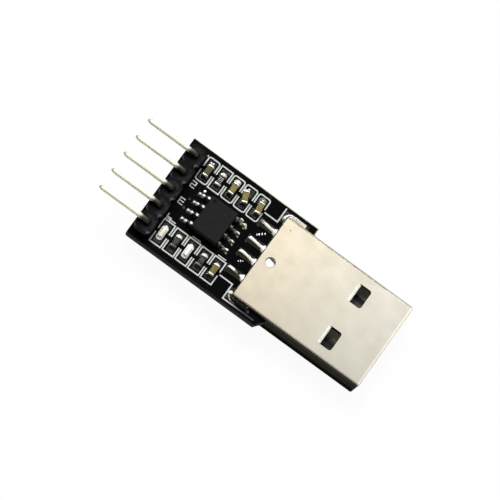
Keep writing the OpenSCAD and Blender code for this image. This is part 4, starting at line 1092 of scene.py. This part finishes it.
class ADAPTER_OT_stage(bpy.types.Operator):
    """Pale floor, soft studio light and the camera at the photograph's angle"""
    bl_idname = "adapter.stage"
    bl_label = "Stage"

    def execute(self, context):
        scene = context.scene
        floor = closed_rings(collar((0, 0), (2500, 2500), (-6.0, -0.01), 96))
        mesh = bpy.data.meshes.new("studio_floor")
        mesh.from_pydata((floor[0] * MM).tolist(), [], floor[1])
        ground = bpy.data.objects.new("studio_floor", mesh)
        scene.collection.objects.link(ground)
        mesh.materials.append(floor_finish())
        for name, azimuth, elevation, angle, strength in (
                ("key", 138, 57, 26, 2.15), ("back", 100, 51, 30, 1.22), ("front", 35, 48, 34, 0.50)):
            lamp = bpy.data.lights.new(name, "SUN")
            lamp.angle, lamp.energy = math.radians(angle), strength
            thing = bpy.data.objects.new(name, lamp)
            a, e = math.radians(azimuth), math.radians(elevation)
            towards = Vector((math.cos(a) * math.cos(e), math.sin(a) * math.cos(e), math.sin(e)))
            thing.rotation_euler = towards.to_track_quat("Z", "Y").to_euler()
            thing.location = towards * 0.5
            scene.collection.objects.link(thing)
        world = bpy.data.worlds.new("studio")
        scene.world = world
        b = Bench("studio", world)
        way = b.add("ShaderNodeTexCoord", {}, out="Generated")
        across, up = b.axes(way)[1:]
        tones = ((0.0, 0.34), (0.1, 0.26), (0.6, 0.14), (0.9, 0.02))
        stops = [(height, (tone, tone, tone)) for height, tone in tones]
        sky = b.add("ShaderNodeValToRGB", {"stops": stops}, up)
        back = b.tree.nodes["Background"]
        b.feed(back.inputs["Color"], sky)
        b.feed(back.inputs["Strength"], 0.32 + across.step(-0.5, 0.6) * 0.83)
        # The photograph's long lens, its place in millimetres and its turn, fitted to the object
        camera = bpy.data.cameras.new("camera")
        camera.lens, camera.sensor_width, camera.clip_end = 288, 36, 100
        eye = bpy.data.objects.new("camera", camera)
        eye.location = Vector((-12.18292, -125.29709, 467.76664)) * MM
        eye.rotation_mode = "QUATERNION"
        eye.rotation_quaternion = Quaternion((0.942774978, 0.121256694, -0.052276044, 0.306168859))
        scene.collection.objects.link(eye)
        scene.camera = eye
        scene.view_settings.view_transform = "Standard"
        return {"FINISHED"}


class ADAPTER_PT_panel(bpy.types.Panel):
    """Builds the module's pieces one group at a time"""
    bl_idname = "ADAPTER_PT_panel"
    bl_label = "Serial adapter"
    bl_space_type = "VIEW_3D"
    bl_region_type = "UI"
    bl_category = "Adapter"

    def draw(self, context):
        layout = self.layout
        for settings in (context.scene.adapter_sizes, context.scene.adapter_colours):
            box = layout.box()
            for name in settings.bl_rna.properties.keys():
                if name not in ("rna_type", "name"):
                    box.prop(settings, name)
        for operator in OPERATORS:
            layout.operator(operator.bl_idname)


OPERATORS = (ADAPTER_OT_board, ADAPTER_OT_header, ADAPTER_OT_plug, ADAPTER_OT_contact_solder,
             ADAPTER_OT_tab_solder, ADAPTER_OT_chip, ADAPTER_OT_chip_solder, ADAPTER_OT_capacitors,
             ADAPTER_OT_resistors, ADAPTER_OT_lamps, ADAPTER_OT_part_solder, ADAPTER_OT_stage)
CLASSES = (AdapterColours, AdapterSizes) + OPERATORS + (ADAPTER_PT_panel,)


def register():
    for cls in CLASSES:
        bpy.utils.register_class(cls)
    bpy.types.Scene.adapter_colours = bpy.props.PointerProperty(type=AdapterColours)
    bpy.types.Scene.adapter_sizes = bpy.props.PointerProperty(type=AdapterSizes)


def unregister():
    del bpy.types.Scene.adapter_colours, bpy.types.Scene.adapter_sizes
    for cls in reversed(CLASSES):
        bpy.utils.unregister_class(cls)


def main():
    """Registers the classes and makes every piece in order."""
    register()
    for operator in OPERATORS:
        getattr(bpy.ops.adapter, operator.bl_idname.split(".")[1])()


if __name__ == "__main__":
    main()
